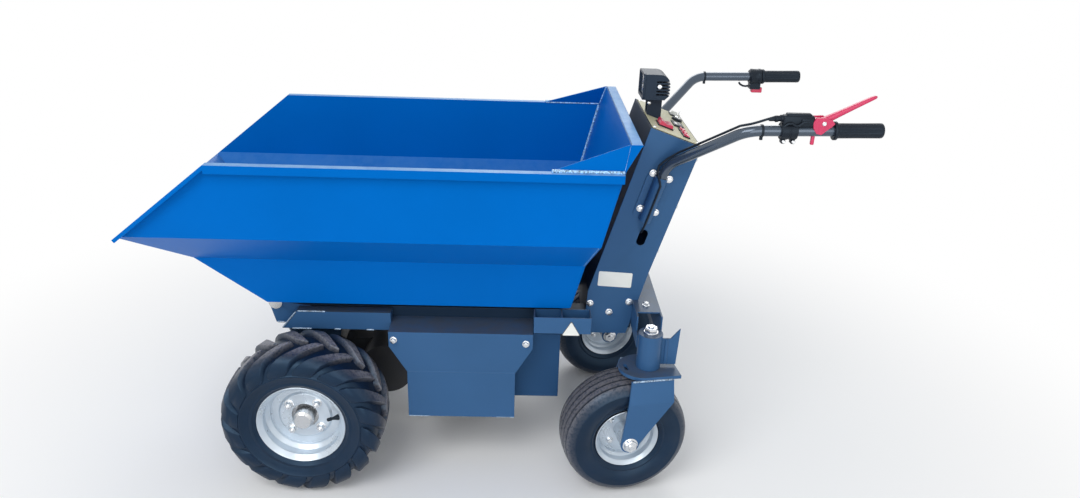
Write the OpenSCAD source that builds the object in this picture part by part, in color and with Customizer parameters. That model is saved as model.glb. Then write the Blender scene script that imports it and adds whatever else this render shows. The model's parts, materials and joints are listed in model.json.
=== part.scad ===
// Electric walk-behind skip dumper
// Frame: +X forward, +Y left, +Z up, millimetres, origin on the ground under the middle

/* [Skip] */
// Plate thickness of the skip
skip_t = 3; // [2:0.5:5]
// Height of the skip floor above the ground
skip_floor_z = 473; // [465:1:490]
// Front end of the flat floor
skip_floor_front_x = 580; // [560:1:600]
// Rear end of the flat floor
skip_floor_rear_x = -196; // [-215:1:-190]
// Half width of the floor
skip_floor_half_w = 209; // [190:1:215]
// Height of the lower crease of the sides
crease_low_z = 600; // [560:1:640]
// Half width at the lower crease
crease_low_half_w = 224; // [214:1:240]
// Height of the upper crease of the sides
crease_high_z = 700; // [690:1:720]
// Half width of the upper sides
skip_half_w = 339; // [325:1:350]
// Height of the side rims
rim_z = 882; // [850:1:910]
// Front end of the side rims
rim_front_x = 638; // [600:1:680]
// Foremost edge of the pouring lip
lip_x = 867; // [840:1:880]
// Height of the pouring lip
lip_z = 696; // [670:1:715]
// Width of the folded rim
rim_w = 18; // [12:1:24]
// Depth of the rim's turned-down hem
rim_hem = 20; // [12:1:26]
// Height of the rear wall's top edge
rear_top_z = 940; // [920:1:960]
// How far the rear wall's top corners sit in from the upper sides
rear_top_inset = 29; // [20:1:45]
// How far the rear wall leans back from floor to top
rear_lean = 113; // [90:1:125]
// Width of the rear wall's folded top edge
rear_fold = 25; // [15:1:30]
// Length of the corner gussets along the rim
gusset_len = 165; // [120:1:200]
// Height of the runners under the floor
runner_h = 30; // [24:1:31]

/* [Tipping pivot] */
// Pivot position along the machine
pivot_x = 575; // [565:1:580]
// Pivot height
pivot_z = 448; // [444:1:450]
// Pivot shaft diameter
pivot_d = 25; // [20:1:28]
// Outer radius of the pivot eyes
pivot_eye_r = 19; // [17:1:20]

/* [Drive wheels] */
// Overall tyre diameter over the lugs
tyre_d = 410; // [400:1:416]
// Tyre width
tyre_w = 168; // [150:1:170]
// Lug height
lug_h = 12; // [8:1:24]
// Distance of the wheel centre from the middle
track_half = 292; // [288:1:300]
// Wheel axle position along the machine
axle_x = 479; // [470:1:485]
// Rim flange diameter
rim_d = 230; // [222:1:236]
// Number of lugs on each side of a tyre
lugs = 16; // [14:1:18]

/* [Casters] */
// Caster tyre diameter
caster_d = 330; // [320:1:334]
// Caster tyre width
caster_w = 125; // [110:1:126]
// Caster rim flange diameter
caster_rim_d = 175; // [165:1:180]
// Swivel axis position along the machine
swivel_x = -396; // [-405:1:-394]
// Swivel axis distance from the middle
swivel_half = 282; // [278:1:286]
// Distance from swivel axis to wheel axle
trail = 55; // [45:1:58]
// Angle at which both casters stand
caster_turn = 10; // [0:1:20]
// Swivel housing diameter
housing_d = 62; // [54:1:66]
// Bottom of the swivel housing
housing_z0 = 352; // [350:1:356]
// Top of the swivel housing
housing_z1 = 447; // [440:1:455]
// Swivel stem diameter
stem_d = 30; // [24:1:34]

/* [Chassis] */
// Bottom of the main rails
rail_z = 388; // [386:1:392]
// Height of the main rails
rail_h = 50; // [46:1:52]
// Width of a main rail
rail_w = 40; // [30:1:44]
// Rear cross beam front face
beam_x0 = -363; // [-364:1:-361]
// Rear cross beam depth
beam_w = 66; // [62:1:70]
// Rear cross beam top
beam_z1 = 475; // [465:1:485]
// Rear cross beam bottom
beam_z0 = 400; // [390:1:410]

/* [Battery] */
// Battery box front face
battery_x1 = 220; // [200:1:224]
// Battery box rear face
battery_x0 = -50; // [-52:1:-40]
// Battery box half width
battery_half_w = 232; // [200:1:234]
// Battery box bottom
battery_z0 = 160; // [150:1:180]
// Outer face of the guard plates
guard_y = 240; // [236:1:244]

/* [Column] */
// Half width of the steering column
column_half_w = 158; // [150:1:164]
// Column sheet thickness
column_t = 3; // [2:0.5:4]
// Column top front corner, along the machine
column_top_x = -372; // [-380:1:-366]
// Column top front corner, height
column_top_z = 941; // [930:1:950]
// Depth of the console, measured level
console_depth = 128; // [118:1:165]
// Drop of the console towards the operator
console_drop = 46; // [40:1:60]

/* [Handlebars] */
// Handlebar tube diameter
bar_d = 25; // [22:0.5:28]
// Distance of the grips from the middle
grip_half = 303; // [290:1:315]
// Height of the grip ends
grip_z = 986; // [975:1:995]
// Rear end of the grips
grip_end_x = -868; // [-880:1:-850]
// Grip length
grip_len = 112; // [100:1:125]
// Grip diameter
grip_d = 34; // [30:0.5:36]
// Bend radius of the handlebar tubes
bar_bend = 70; // [55:1:80]

/* [Hidden] */
$fn = 48;
// Running clearance of shafts in bores, on the radius
run = 0.05;
// Gap between faces of different bodies that rest on each other
rest_gap = 0.5;
// Oversize of cutting tools
cut = 1;
wheel_z = tyre_d / 2;
caster_z = caster_d / 2;
sides = [1, -1];
rear_top_half_w = skip_half_w - rear_top_inset;

// Frame members beside the drive wheels, from the tyre inwards
wheel_room = 18;
front_rail_w = 32;
bracket_t = 8;
front_rail_y = track_half - tyre_w / 2 - wheel_room;
bracket_y1 = front_rail_y - front_rail_w;
bracket_y0 = bracket_y1 - bracket_t;
rail_in = bracket_y0 - rail_w;

// Skip outline in the side view
slope_dir = [lip_x - skip_floor_front_x, lip_z - skip_floor_z];
lip = [lip_x, lip_z];
rim_front = [rim_front_x, rim_z];
function rear_x(z) = skip_floor_rear_x - rear_lean * (z - skip_floor_z) / (rear_top_z - skip_floor_z);
function unit(v) = v / norm(v);
function left_of(v) = [-v.y, v.x];
slope_n = left_of(unit(slope_dir));
rear_n = -left_of(unit([rear_x(rear_top_z) - skip_floor_rear_x, rear_top_z - skip_floor_z]));
rim_rear = [rear_x(rim_z), rim_z];

// Polyline with mitred offset, as a closed strip
function seg_n(p, i) = left_of(unit(p[i + 1] - p[i]));
function mitre(p, i) =
  i == 0 ? seg_n(p, 0) :
  i == len(p) - 1 ? seg_n(p, i - 1) :
  let (a = seg_n(p, i - 1), b = seg_n(p, i)) (a + b) / (1 + a * b);
function strip(p, t) = concat(p, [for (i = [len(p) - 1 : -1 : 0]) (p[i] + t * mitre(p, i))]);

// Outline in the side view, spread over a range across the machine
module across(y0, y1) {
  translate([0, max(y0, y1), 0]) rotate([90, 0, 0]) linear_extrude(abs(y1 - y0)) children();
}

// Outline in the front view, spread over a range along the machine
module along(x0, x1) {
  translate([min(x0, x1), 0, 0]) rotate([90, 0, 90]) linear_extrude(abs(x1 - x0)) children();
}

// Both sides of the machine
module both() {
  children();
  mirror([0, 1, 0]) children();
}

// Left or right side of the machine
module side(s) {
  if (s > 0) children();
  else mirror([0, 1, 0]) children();
}

// Round bar between two points
module rod(a, b, d) {
  v = b - a;
  translate(a)
    rotate([0, acos(v.z / norm(v)), atan2(v.y, v.x)])
      cylinder(h = norm(v), d = d);
}

// Route with its corners rounded to a bend radius
bend_steps = 8;
function bend_t(p, i, r) =
  i == 0 || i == len(p) - 1 ? 0 :
  r * tan(acos(unit(p[i] - p[i - 1]) * unit(p[i + 1] - p[i])) / 2);
function bend(p, i, r) =
  let (
    u = unit(p[i] - p[i - 1]),
    v = unit(p[i + 1] - p[i]),
    a = acos(u * v),
    c = p[i] + unit(v - u) * r / cos(a / 2),
    e = unit(p[i] - bend_t(p, i, r) * u - c))
  [for (k = [0 : bend_steps]) c + r * (cos(a * k / bend_steps) * e + sin(a * k / bend_steps) * u)];
function rounded_route(p, r) = concat(
  [p[0]],
  [for (i = [1 : len(p) - 2]) each bend(p, i, r)],
  [p[len(p) - 1]]);

// Round bar along a route, as rings of corners joined by quads
function route_dir(p, i) = unit(p[min(i + 1, len(p) - 1)] - p[max(i - 1, 0)]);
function ring(p, i, d, n) =
  let (t = route_dir(p, i), a = unit(cross(t, [0.3, 1, 0.2])), b = cross(t, a))
  [for (k = [0 : n - 1]) p[i] + d / 2 * (cos(k * 360 / n) * a + sin(k * 360 / n) * b)];
module swept(p, d, n) {
  last = (len(p) - 1) * n;
  polyhedron(
    points = [for (i = [0 : len(p) - 1]) each ring(p, i, d, n)],
    faces = concat(
      [[for (k = [0 : n - 1]) k]],
      [for (i = [0 : len(p) - 2]) for (k = [0 : n - 1])
        [i * n + k, (i + 1) * n + k, (i + 1) * n + (k + 1) % n, i * n + (k + 1) % n]],
      [[for (k = [n - 1 : -1 : 0]) last + k]]));
}

// Revolved outline about an axle across the machine
module turned(x, y, z) {
  translate([x, y, z]) rotate([-90, 0, 0]) rotate_extrude() children();
}

// Skip half outline in the front view, outer and inner face
side_profile = [
  [skip_floor_half_w, skip_floor_z],
  [crease_low_half_w, crease_low_z],
  [skip_half_w, crease_high_z],
  [skip_half_w, rim_z]];
side_lean = atan2(crease_low_half_w - skip_floor_half_w, crease_low_z - skip_floor_z);
floor_half_w = skip_floor_half_w - skip_t / cos(side_lean);
inner_profile = [
  [floor_half_w, skip_floor_z],
  for (i = [1 : len(side_profile) - 1]) side_profile[i] + skip_t * mitre(side_profile, i)];

// Room inside the skip panels' joints, in the side view
slope_in = [skip_floor_front_x, skip_floor_z] + skip_t * slope_n;
lip_in = lip + skip_t * slope_n;
rear_low_in = [skip_floor_rear_x, skip_floor_z] + skip_t * rear_n;
function line_x(a, b, z) = a.x + (b.x - a.x) * (z - a.y) / (b.y - a.y);
function rear_in(z) = line_x(rear_low_in, rim_rear + skip_t * rear_n, z);
rear_rim_in = [rear_in(rim_z), rim_z];
floor_top = skip_floor_z + skip_t;
floor_in_front = line_x(slope_in, lip_in, floor_top);
floor_in_rear = line_x(rear_low_in, rear_rim_in, floor_top);

// Floor and front slope, one bent plate
module skip_floor() {
  half = inner_profile;
  color("steelblue") intersection() {
    across(-skip_half_w, skip_half_w)
      polygon([
        [line_x(rear_low_in, rear_rim_in, skip_floor_z), skip_floor_z],
        [skip_floor_front_x, skip_floor_z],
        lip,
        lip_in,
        [floor_in_front, floor_top],
        [floor_in_rear, floor_top]]);
    along(rear_x(rear_top_z), lip_x + cut)
      polygon(concat(half, [for (i = [len(half) - 1 : -1 : 0]) [-half[i].x, half[i].y]]));
  }
}

rake_hem = 9;
module skip_side(s) {
  rim_line = [lip_in, rim_front, rear_rim_in];
  color("steelblue") side(s) {
    intersection() {
      along(rear_x(rear_top_z), lip_x)
        polygon(strip(side_profile, skip_t));
      across(0, skip_half_w + cut)
        polygon([
          [line_x(rear_low_in, rear_rim_in, skip_floor_z), skip_floor_z],
          [skip_floor_front_x, skip_floor_z],
          lip,
          lip_in,
          rim_front,
          rear_rim_in]);
    }
    across(skip_half_w - skip_t, skip_half_w + rim_w)
      polygon(strip(rim_line, skip_t));
    across(skip_half_w + rim_w - skip_t, skip_half_w + rim_w) {
      polygon(strip(rim_line, rake_hem));
      polygon(strip([rim_front, rear_rim_in], rim_hem));
    }
  }
}

module skip_side_left() { skip_side(1); }
module skip_side_right() { skip_side(-1); }

// Plane of the gussets, from the rim up to the rear wall's top corner
gusset_rise = rear_top_z - rim_z;
gusset_lean = atan2(rear_top_inset, gusset_rise);
gusset_slant = norm([gusset_rise, rear_top_inset]);
module in_gusset_plane() {
  both() translate([0, skip_half_w, rim_z + skip_t * sin(gusset_lean)])
    rotate([90 + gusset_lean, 0, 0]) linear_extrude(skip_t) children();
}

module skip_rear_wall() {
  top_x = rear_x(rear_top_z);
  wall = [
    [skip_floor_rear_x, skip_floor_z],
    [top_x, rear_top_z],
    [top_x - rear_fold, rear_top_z]];
  outline = concat(side_profile, [[rear_top_half_w, rear_top_z + cut]]);
  color("steelblue") intersection() {
    union() {
      across(-skip_half_w, skip_half_w) polygon(strip(wall, -skip_t));
      in_gusset_plane()
        polygon([
          [rear_x(rim_z) + cut, 0],
          [top_x + cut, gusset_slant],
          [top_x - rear_fold, gusset_slant]]);
    }
    along(top_x - rear_fold - cut, skip_floor_rear_x + 2 * skip_t)
      polygon(concat(
        outline,
        [for (i = [len(outline) - 1 : -1 : 0]) [-outline[i].x, outline[i].y]]));
    across(-skip_half_w, skip_half_w)
      polygon([
        [top_x - rear_fold, rear_top_z],
        [top_x - rear_fold, rear_top_z - skip_t],
        [skip_floor_rear_x - rear_fold, skip_floor_z],
        [skip_floor_rear_x + 2 * skip_t, skip_floor_z],
        [skip_floor_rear_x + 2 * skip_t, rear_top_z]]);
  }
}

module skip_gussets() {
  foot = rear_rim_in.x + rest_gap;
  color("steelblue") in_gusset_plane()
    polygon([
      [foot, 0],
      [foot + gusset_len, 0],
      [rear_in(rear_top_z) + rest_gap, gusset_slant]]);
}

runner_w = 30;
runner_y = rail_in;
runner_end = 12;
runner_front_x = pivot_x - pivot_eye_r - runner_end;
runner_rear_x = skip_floor_rear_x + runner_end;
module skip_runners() {
  color("darkslategray") both()
    translate([runner_rear_x, runner_y, skip_floor_z - runner_h])
      cube([runner_front_x - runner_rear_x, runner_w, runner_h]);
}

eye_w = 82;
eye_y1 = bracket_y0 - bracket_t;
eye_y0 = eye_y1 - eye_w;
module skip_pivot_eyes() {
  color("steelblue") both() difference() {
    across(eye_y0, eye_y1) union() {
      translate([pivot_x, pivot_z]) circle(r = pivot_eye_r);
      translate([pivot_x - pivot_eye_r, pivot_z])
        square([pivot_eye_r + skip_floor_front_x - pivot_x, skip_floor_z - pivot_z]);
    }
    translate([pivot_x, 0, pivot_z]) rotate([-90, 0, 0]) cylinder(h = eye_y1 + cut, d = pivot_d + 2 * run);
  }
}

bracket_len = 90;
bracket_nose = 4;
module pivot_brackets() {
  color("dimgray") both() difference() {
    across(bracket_y0, bracket_y1) union() {
      translate([pivot_x, pivot_z]) circle(r = pivot_eye_r);
      polygon([
        [pivot_x + pivot_eye_r, pivot_z],
        [pivot_x - pivot_eye_r, pivot_z],
        [pivot_x - bracket_len, rail_z + rail_h],
        [pivot_x - bracket_len, rail_z],
        [pivot_x + bracket_nose, rail_z]]);
    }
    translate([pivot_x, 0, pivot_z])
      rotate([-90, 0, 0]) cylinder(h = bracket_y1 + cut, d = pivot_d + 2 * run);
  }
}

pivot_head_t = 6;
pivot_head_d = pivot_d + 10;
module pivot_shaft() {
  reach = bracket_y1 + pivot_head_t;
  color("silver") {
    translate([pivot_x, -reach, pivot_z]) rotate([-90, 0, 0]) cylinder(h = 2 * reach, d = pivot_d);
    both() translate([pivot_x, bracket_y1, pivot_z])
      rotate([-90, 0, 0]) cylinder(h = pivot_head_t, d = pivot_head_d);
  }
}

rail_front_x = pivot_x - pivot_eye_r - bracket_t;
module main_rails() {
  color("dimgray") both()
    translate([beam_x0, rail_in, rail_z]) cube([rail_front_x - beam_x0, rail_w, rail_h]);
}

cross_w = 40;
cross_mid_x = 400;
cross_rear_x = -150;
cross_xs = [rail_front_x - cross_w, cross_mid_x, cross_rear_x];
module cross_members() {
  color("dimgray") for (x = cross_xs)
    translate([x, -rail_in, rail_z]) cube([cross_w, 2 * rail_in, rail_h]);
}

pad_t = skip_floor_z - runner_h - rail_z - rail_h - rest_gap;
pad_len = 50;
pad_xs = [cross_mid_x, -120];
module rest_pads() {
  color("black") both() for (x = pad_xs)
    translate([x, runner_y, rail_z + rail_h]) cube([pad_len, runner_w, pad_t]);
}

front_rail_x0 = 271;
front_rail_nose = 20;
front_rail_cut = 40;
module front_side_rails() {
  color("slategray") both()
    across(bracket_y1, front_rail_y)
      polygon([
        [front_rail_x0, rail_z],
        [pivot_x - front_rail_nose, rail_z],
        [pivot_x - front_rail_nose - front_rail_cut, rail_z + rail_h],
        [front_rail_x0, rail_z + rail_h]]);
}

tray_x0 = -249;
tray_x1 = -102;
tray_w = 50;
tray_h = 46;
tray_t = 3;
tray_link = 120;
tray_rise = 27;
tray_z = rail_z + tray_rise;
module rear_trays() {
  y1 = guard_y;
  y0 = y1 - tray_w;
  color("slategray") both() {
    translate([tray_x0, y0, tray_z]) cube([tray_x1 - tray_x0, tray_w, tray_t]);
    translate([tray_x1 - tray_link, rail_in + rail_w, tray_z])
      cube([tray_link, y0 - rail_in - rail_w, tray_t]);
    for (y = [y0, y1 - tray_t])
      translate([tray_x0, y, tray_z]) cube([tray_x1 - tray_x0, tray_t, tray_h]);
    for (x = [tray_x0, (tray_x0 + tray_x1) / 2, tray_x1 - tray_t])
      translate([x, y0, tray_z]) cube([tray_t, tray_w, tray_h]);
  }
}

ram_tunnel = 45;
module battery_box() {
  color("#222222") both()
    translate([battery_x0, ram_tunnel, battery_z0])
      cube([battery_x1 - battery_x0, battery_half_w - ram_tunnel, rail_z - battery_z0]);
}

controller_x0 = -174;
controller_half_w = 195;
controller_z0 = 195;
module controller_box() {
  color("#2b2d30") both()
    translate([controller_x0, ram_tunnel, controller_z0])
      cube([battery_x0 - controller_x0, controller_half_w - ram_tunnel, rail_z - controller_z0]);
}

guard_t = 3;
guard_top = 410;
guard_ear_z = 367;
guard_neck_z = 293;
guard_z0 = 155;
guard_x = [271, -101];
guard_low_x = [226, -57];
module battery_guards() {
  color("slategray") both()
    across(guard_y - guard_t, guard_y)
      polygon([
        [guard_x[0], guard_top],
        [guard_x[0], guard_ear_z],
        [guard_low_x[0], guard_neck_z],
        [guard_low_x[0], guard_z0],
        [guard_low_x[1], guard_z0],
        [guard_low_x[1], guard_neck_z],
        [guard_x[1], guard_ear_z],
        [guard_x[1], guard_top]]);
  color("slategray") both()
    translate([guard_x[1], rail_in + rail_w, guard_top - guard_t])
      cube([guard_x[0] - guard_x[1], guard_y - rail_in - rail_w, guard_t]);
}

outrigger_w = 26;
outrigger_xs = [244, -96];
module guard_brackets() {
  y1 = guard_y - guard_t;
  z1 = guard_top - guard_t;
  color("dimgray") both() for (x = outrigger_xs) {
    translate([x, rail_in + rail_w, rail_z])
      cube([outrigger_w, y1 - rail_in - rail_w, z1 - rail_z]);
    translate([x, battery_half_w, guard_ear_z])
      cube([outrigger_w, y1 - battery_half_w, z1 - guard_ear_z]);
  }
}

// Tipping ram between chassis and skip, at rest
ram_base = [-125, 300];
ram_eye = [325, 430];
ram_pin_d = 16;
ram_tube_d = 44;
ram_rod_d = 22;
ram_tube_end = 380;
ram_engaged = 60;
ram_eye_half = 12;
ram_eye_d = 40;
ram_neck_h = 36;
ram_head_x = 50;
ram_head = [45, 52, 92];
ram_head_top = 28;
ram_motor_d = 42;
ram_motor_drop = 40;
ram_motor_len = 110;
ram_bore_end = 5;
ram_len = norm(ram_eye - ram_base);
ram_tilt = atan2(ram_eye.y - ram_base.y, ram_eye.x - ram_base.x);

// Frame of the ram: origin at its base pin, x along the rod
module at_ram() {
  translate([ram_base.x, 0, ram_base.y]) rotate([0, -ram_tilt, 0]) children();
}
module along_ram(x0, x1, d) {
  translate([x0, 0, 0]) rotate([0, 90, 0]) cylinder(h = x1 - x0, d = d);
}
module ram_cross_pin(half, d) {
  translate([0, -half, 0]) rotate([-90, 0, 0]) cylinder(h = 2 * half, d = d);
}
module ram_body() {
  tube_x = ram_head_x + ram_head.x;
  color("#2a2a2c") at_ram() difference() {
    union() {
      ram_cross_pin(ram_eye_half, ram_eye_d);
      translate([0, -ram_eye_half, -ram_neck_h / 2])
        cube([ram_head_x + cut, 2 * ram_eye_half, ram_neck_h]);
      translate([ram_head_x, -ram_head.y / 2, ram_head_top - ram_head.z]) cube(ram_head);
      along_ram(tube_x, ram_tube_end, ram_tube_d);
      translate([0, 0, -ram_motor_drop]) along_ram(tube_x, tube_x + ram_motor_len, ram_motor_d);
    }
    ram_cross_pin(2 * ram_eye_half, ram_pin_d + 2 * run);
    along_ram(ram_engaged - ram_bore_end, ram_tube_end + cut, ram_rod_d + 2 * run);
  }
}
module ram_rod() {
  color("silver") at_ram() {
    along_ram(ram_engaged, ram_len - ram_eye_half, ram_rod_d);
    translate([ram_len, 0, 0]) ram_cross_pin(ram_eye_half, ram_eye_d);
  }
}
ram_ear_gap = 2;
ram_ear_t = 6;
ram_ear_half = 18;
ram_ear_tip = 20;
ram_ear_cut = 8;
ram_foot = [25, 15];
ram_lug_half = 45;
module ram_bracket() {
  y0 = ram_eye_half + ram_ear_gap;
  color("dimgray") {
    both() across(y0, y0 + ram_ear_t)
      polygon([
        [ram_base.x - ram_foot.x, rail_z],
        [ram_base.x + ram_foot.y, rail_z],
        [ram_base.x + ram_ear_half, ram_base.y - ram_ear_cut],
        [ram_base.x, ram_base.y - ram_ear_tip],
        [ram_base.x - ram_ear_half, ram_base.y - ram_ear_cut]]);
    translate([ram_base.x, 0, ram_base.y]) ram_cross_pin(y0 + ram_ear_t, ram_pin_d);
  }
}
module skip_ram_lugs() {
  y0 = ram_eye_half + ram_ear_gap;
  color("steelblue") both() difference() {
    across(y0, y0 + ram_ear_t)
      polygon([
        [ram_eye.x - ram_lug_half, skip_floor_z],
        [ram_eye.x - ram_ear_half, ram_eye.y - ram_ear_cut],
        [ram_eye.x, ram_eye.y - ram_ear_tip],
        [ram_eye.x + ram_ear_half, ram_eye.y - ram_ear_cut],
        [ram_eye.x + ram_lug_half, skip_floor_z]]);
    translate([ram_eye.x, 0, ram_eye.y]) ram_cross_pin(2 * y0, ram_pin_d);
  }
}

axle_tube_d = 60;
hub_reach = 96;
axle_tube_end = track_half - hub_reach;
shaft_d = 30;
shaft_len = 76;
shaft_in = axle_tube_end - shaft_len;
diff_r = 80;
diff_half = 70;
diff_face = 30;
diff_face_r = 45;
module diff_case() {
  turned(axle_x, 0, wheel_z)
    polygon([
      [0, -diff_half],
      [diff_face_r, -diff_half],
      [diff_r, -diff_face],
      [diff_r, diff_face],
      [diff_face_r, diff_half],
      [0, diff_half]]);
}
module drive_axle() {
  color("#1d1d1f") difference() {
    union() {
      translate([axle_x, -axle_tube_end, wheel_z])
        rotate([-90, 0, 0]) cylinder(h = 2 * axle_tube_end, d = axle_tube_d);
      diff_case();
    }
    both() translate([axle_x, shaft_in, wheel_z])
      rotate([-90, 0, 0]) cylinder(h = axle_tube_end, d = shaft_d + 2 * run);
  }
}

motor_x = 305;
motor_z = 215;
motor_r = 74;
motor_y0 = -60;
motor_y1 = 105;
gear_case_w = 60;
gear_case_half = 60;
module drive_motor() {
  color("#1d1d1f") {
    translate([motor_x, motor_y0, motor_z])
      rotate([-90, 0, 0]) cylinder(h = motor_y1 - motor_y0, r = motor_r);
    difference() {
      across(-gear_case_w / 2, gear_case_w / 2)
        polygon([
          [motor_x, motor_z - gear_case_half],
          [axle_x, wheel_z - gear_case_half],
          [axle_x, wheel_z + gear_case_half],
          [motor_x, motor_z + gear_case_half]]);
      diff_case();
    }
  }
}

hanger_half = 70;
hanger_low_half = 42;
hanger_shoulder = 20;
module axle_hangers() {
  color("dimgray") both() difference() {
    across(bracket_y0 - bracket_t, bracket_y0)
      polygon([
        [axle_x - hanger_half, rail_z],
        [axle_x + hanger_half, rail_z],
        [axle_x + hanger_low_half, wheel_z - hanger_shoulder],
        [axle_x, wheel_z - hanger_low_half],
        [axle_x - hanger_low_half, wheel_z - hanger_shoulder]]);
    translate([axle_x, 0, wheel_z])
      rotate([-90, 0, 0]) cylinder(h = bracket_y1, d = axle_tube_d + 2 * run);
  }
}

// Wheels
tyre_r = tyre_d / 2;
tyre_half_w = tyre_w / 2;
bead_r = 101;
rim_flange_y = 68;
rim_t = 3;
rim_lip = rim_d / 2 - rim_t - bead_r;
bead_gap = 0.3;

// Closed ring of corners about an axle across the machine: rows[j] holds [radius, across] at every angle
module ring_solid(rows, angles) {
  m = len(angles[0]);
  n = len(rows);
  polyhedron(
    points = [for (j = [0 : n - 1]) for (i = [0 : m - 1])
      [rows[j][i].x * sin(angles[j][i]), rows[j][i].y, -rows[j][i].x * cos(angles[j][i])]],
    faces = [for (j = [0 : n - 1]) for (i = [0 : m - 1])
      let (a = j * m, b = (j + 1) % n * m, k = (i + 1) % m)
      each [[a + i, b + i, b + k], [a + i, b + k, a + k]]]);
}

// Drive tyre: angles of one lug's foot and top, then the half section from the bead to the crown
lug_pitch = 360 / lugs;
lug_angles = [-1.5, 0, 9, 10.5];
lug_space = lug_pitch - lug_angles[3] + lug_angles[0];
bead_out = 1 / cos(lug_space / 2);
carcass_r = tyre_r - lug_h;
carcass_half_w = tyre_half_w - 4;
// Each row: carcass point, lug point and how far the lug has swept round the tyre there
tyre_rows = [
  [[(bead_r + bead_gap) * bead_out, rim_flange_y - rim_lip], [0, 0], 17],
  [[(bead_r + rim_lip + bead_gap) * bead_out, rim_flange_y + bead_gap], [0, 0], 17],
  [[tyre_r - 65, carcass_half_w - 2], [0, 0], 17],
  [[tyre_r - 45, carcass_half_w + 1], [tyre_r - 42, tyre_half_w], 16],
  [[tyre_r - 20, carcass_half_w - 6], [tyre_r - 11, tyre_half_w - 3], 12.5],
  [[carcass_r - 3, carcass_half_w - 28], [tyre_r - 2, tyre_half_w - 22], 8],
  [[carcass_r - 1, 30], [tyre_r, 30], 3],
  [[carcass_r, 7], [tyre_r, 7], 0],
  [[carcass_r, 2], [0, 0], 0]];
function tyre_row(q, s) = [for (k = [1 : lugs]) for (i = [0 : 3])
  let (raised = q[1].x > 0 && (i == 1 || i == 2), c = raised ? q[1] : q[0]) [c.x, s * c.y]];
function tyre_turn(q, phase) = [for (k = [1 : lugs]) for (a = lug_angles)
  (k + phase) * lug_pitch + a - q[2] + tyre_rows[6][2]];
module tyre_front(s) {
  back = [for (i = [len(tyre_rows) - 1 : -1 : 0]) tyre_rows[i]];
  color("#1a1a1a") side(s) translate([axle_x, track_half, wheel_z])
    ring_solid(
      concat([for (q = tyre_rows) tyre_row(q, 1)], [for (q = back) tyre_row(q, -1)]),
      concat([for (q = tyre_rows) tyre_turn(q, 0)], [for (q = back) tyre_turn(q, 0.5)]));
}
module tyre_left() { tyre_front(1); }
module tyre_right() { tyre_front(-1); }

// Wheel barrel with a drop centre, from flange to flange
module rim_barrel(bead, lip, flange, seat, drop) {
  half = [
    [bead + lip, flange],
    [bead, flange - lip],
    [bead, flange - lip - seat],
    [bead - drop, flange - lip - seat - drop]];
  polygon(strip(concat(
    [for (q = half) [q.x, -q.y]],
    [for (i = [len(half) - 1 : -1 : 0]) half[i]]), rim_t));
}

rim_seat = 20;
rim_drop = 10;
disc_y = 21;
disc_t = 4;
disc_step = 5;
disc_raised_r = 62;
hub_hole_d = 68;
module rim_front_wheel(s) {
  color("silver") side(s) turned(axle_x, track_half, wheel_z) {
    rim_barrel(bead_r, rim_lip, rim_flange_y, rim_seat, rim_drop);
    polygon(strip([
      [hub_hole_d / 2, disc_y],
      [disc_raised_r, disc_y],
      [disc_raised_r + disc_step, disc_y - disc_step],
      [bead_r - rim_drop - rim_t + cut, disc_y - disc_step]], disc_t));
  }
}
module rim_left() { rim_front_wheel(1); }
module rim_right() { rim_front_wheel(-1); }

hub_cap_r = 26;
hub_cap_out = 34;
hub_cap_edge = 6;
hub_neck_r = 40;
hub_flange_r = 60;
hub_flange_t = 11;
hub_recess = 16;
module hub(s) {
  face = track_half + disc_y;
  shaft_y = shaft_in + rest_gap;
  color("silver") side(s)
    turned(axle_x, 0, wheel_z)
      polygon([
        [0, shaft_y],
        [shaft_d / 2, shaft_y],
        [shaft_d / 2, axle_tube_end + rest_gap],
        [hub_neck_r, axle_tube_end + rest_gap],
        [hub_neck_r, face - 2 * hub_flange_t],
        [hub_flange_r, face - hub_flange_t],
        [hub_flange_r, face],
        [hub_hole_d / 2, face],
        [hub_hole_d / 2, face - hub_recess],
        [hub_cap_r, face - hub_recess],
        [hub_cap_r, face + hub_cap_out - hub_cap_edge],
        [hub_cap_r - hub_cap_edge, face + hub_cap_out],
        [0, face + hub_cap_out]]);
}
module hub_left() { hub(1); }
module hub_right() { hub(-1); }

// Rear beam, swivel housings and casters
beam_end = 225;
lock_room = 6;
beam_t = 4;
module rear_beam() {
  color("slategray") difference() {
    union() {
      along(beam_x0 - beam_w, beam_x0)
        translate([-beam_end, beam_z1 - beam_t]) square([2 * beam_end, beam_t]);
      for (x = [beam_x0 - beam_t, beam_x0 - beam_w])
        translate([x, -swivel_half + lock_room, beam_z0])
          cube([beam_t, 2 * (swivel_half - lock_room), beam_z1 - beam_z0]);
    }
    for (s = sides)
      translate([swivel_x, s * swivel_half, 0]) cylinder(h = beam_z1 + cut, d = housing_d);
    both() translate([beam_x0 - beam_w - cut, swivel_half - housing_d / 2, housing_z1 - 12])
      cube([beam_w + 2 * cut, housing_d, beam_z1]);
  }
}

lock_t = 5;
lock_foot = 6;
lock_arm = 80;
lock_horn = 108;
lock_x = [52, 70, 74];
module swivel_housings() {
  color("slategray") both() translate([swivel_x, swivel_half, 0]) difference() {
    union() {
      translate([0, 0, housing_z0]) cylinder(h = housing_z1 - housing_z0, d = housing_d);
      across(-lock_t / 2, lock_t / 2)
        polygon([
          [0, housing_z0 + lock_foot],
          [-lock_x[1], housing_z0 + lock_foot],
          [-lock_x[2], housing_z0 + lock_horn],
          [-lock_x[0], housing_z0 + lock_arm],
          [0, housing_z0 + lock_arm]]);
    }
    cylinder(h = 2 * housing_z1, d = stem_d + 2 * run);
  }
}

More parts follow.
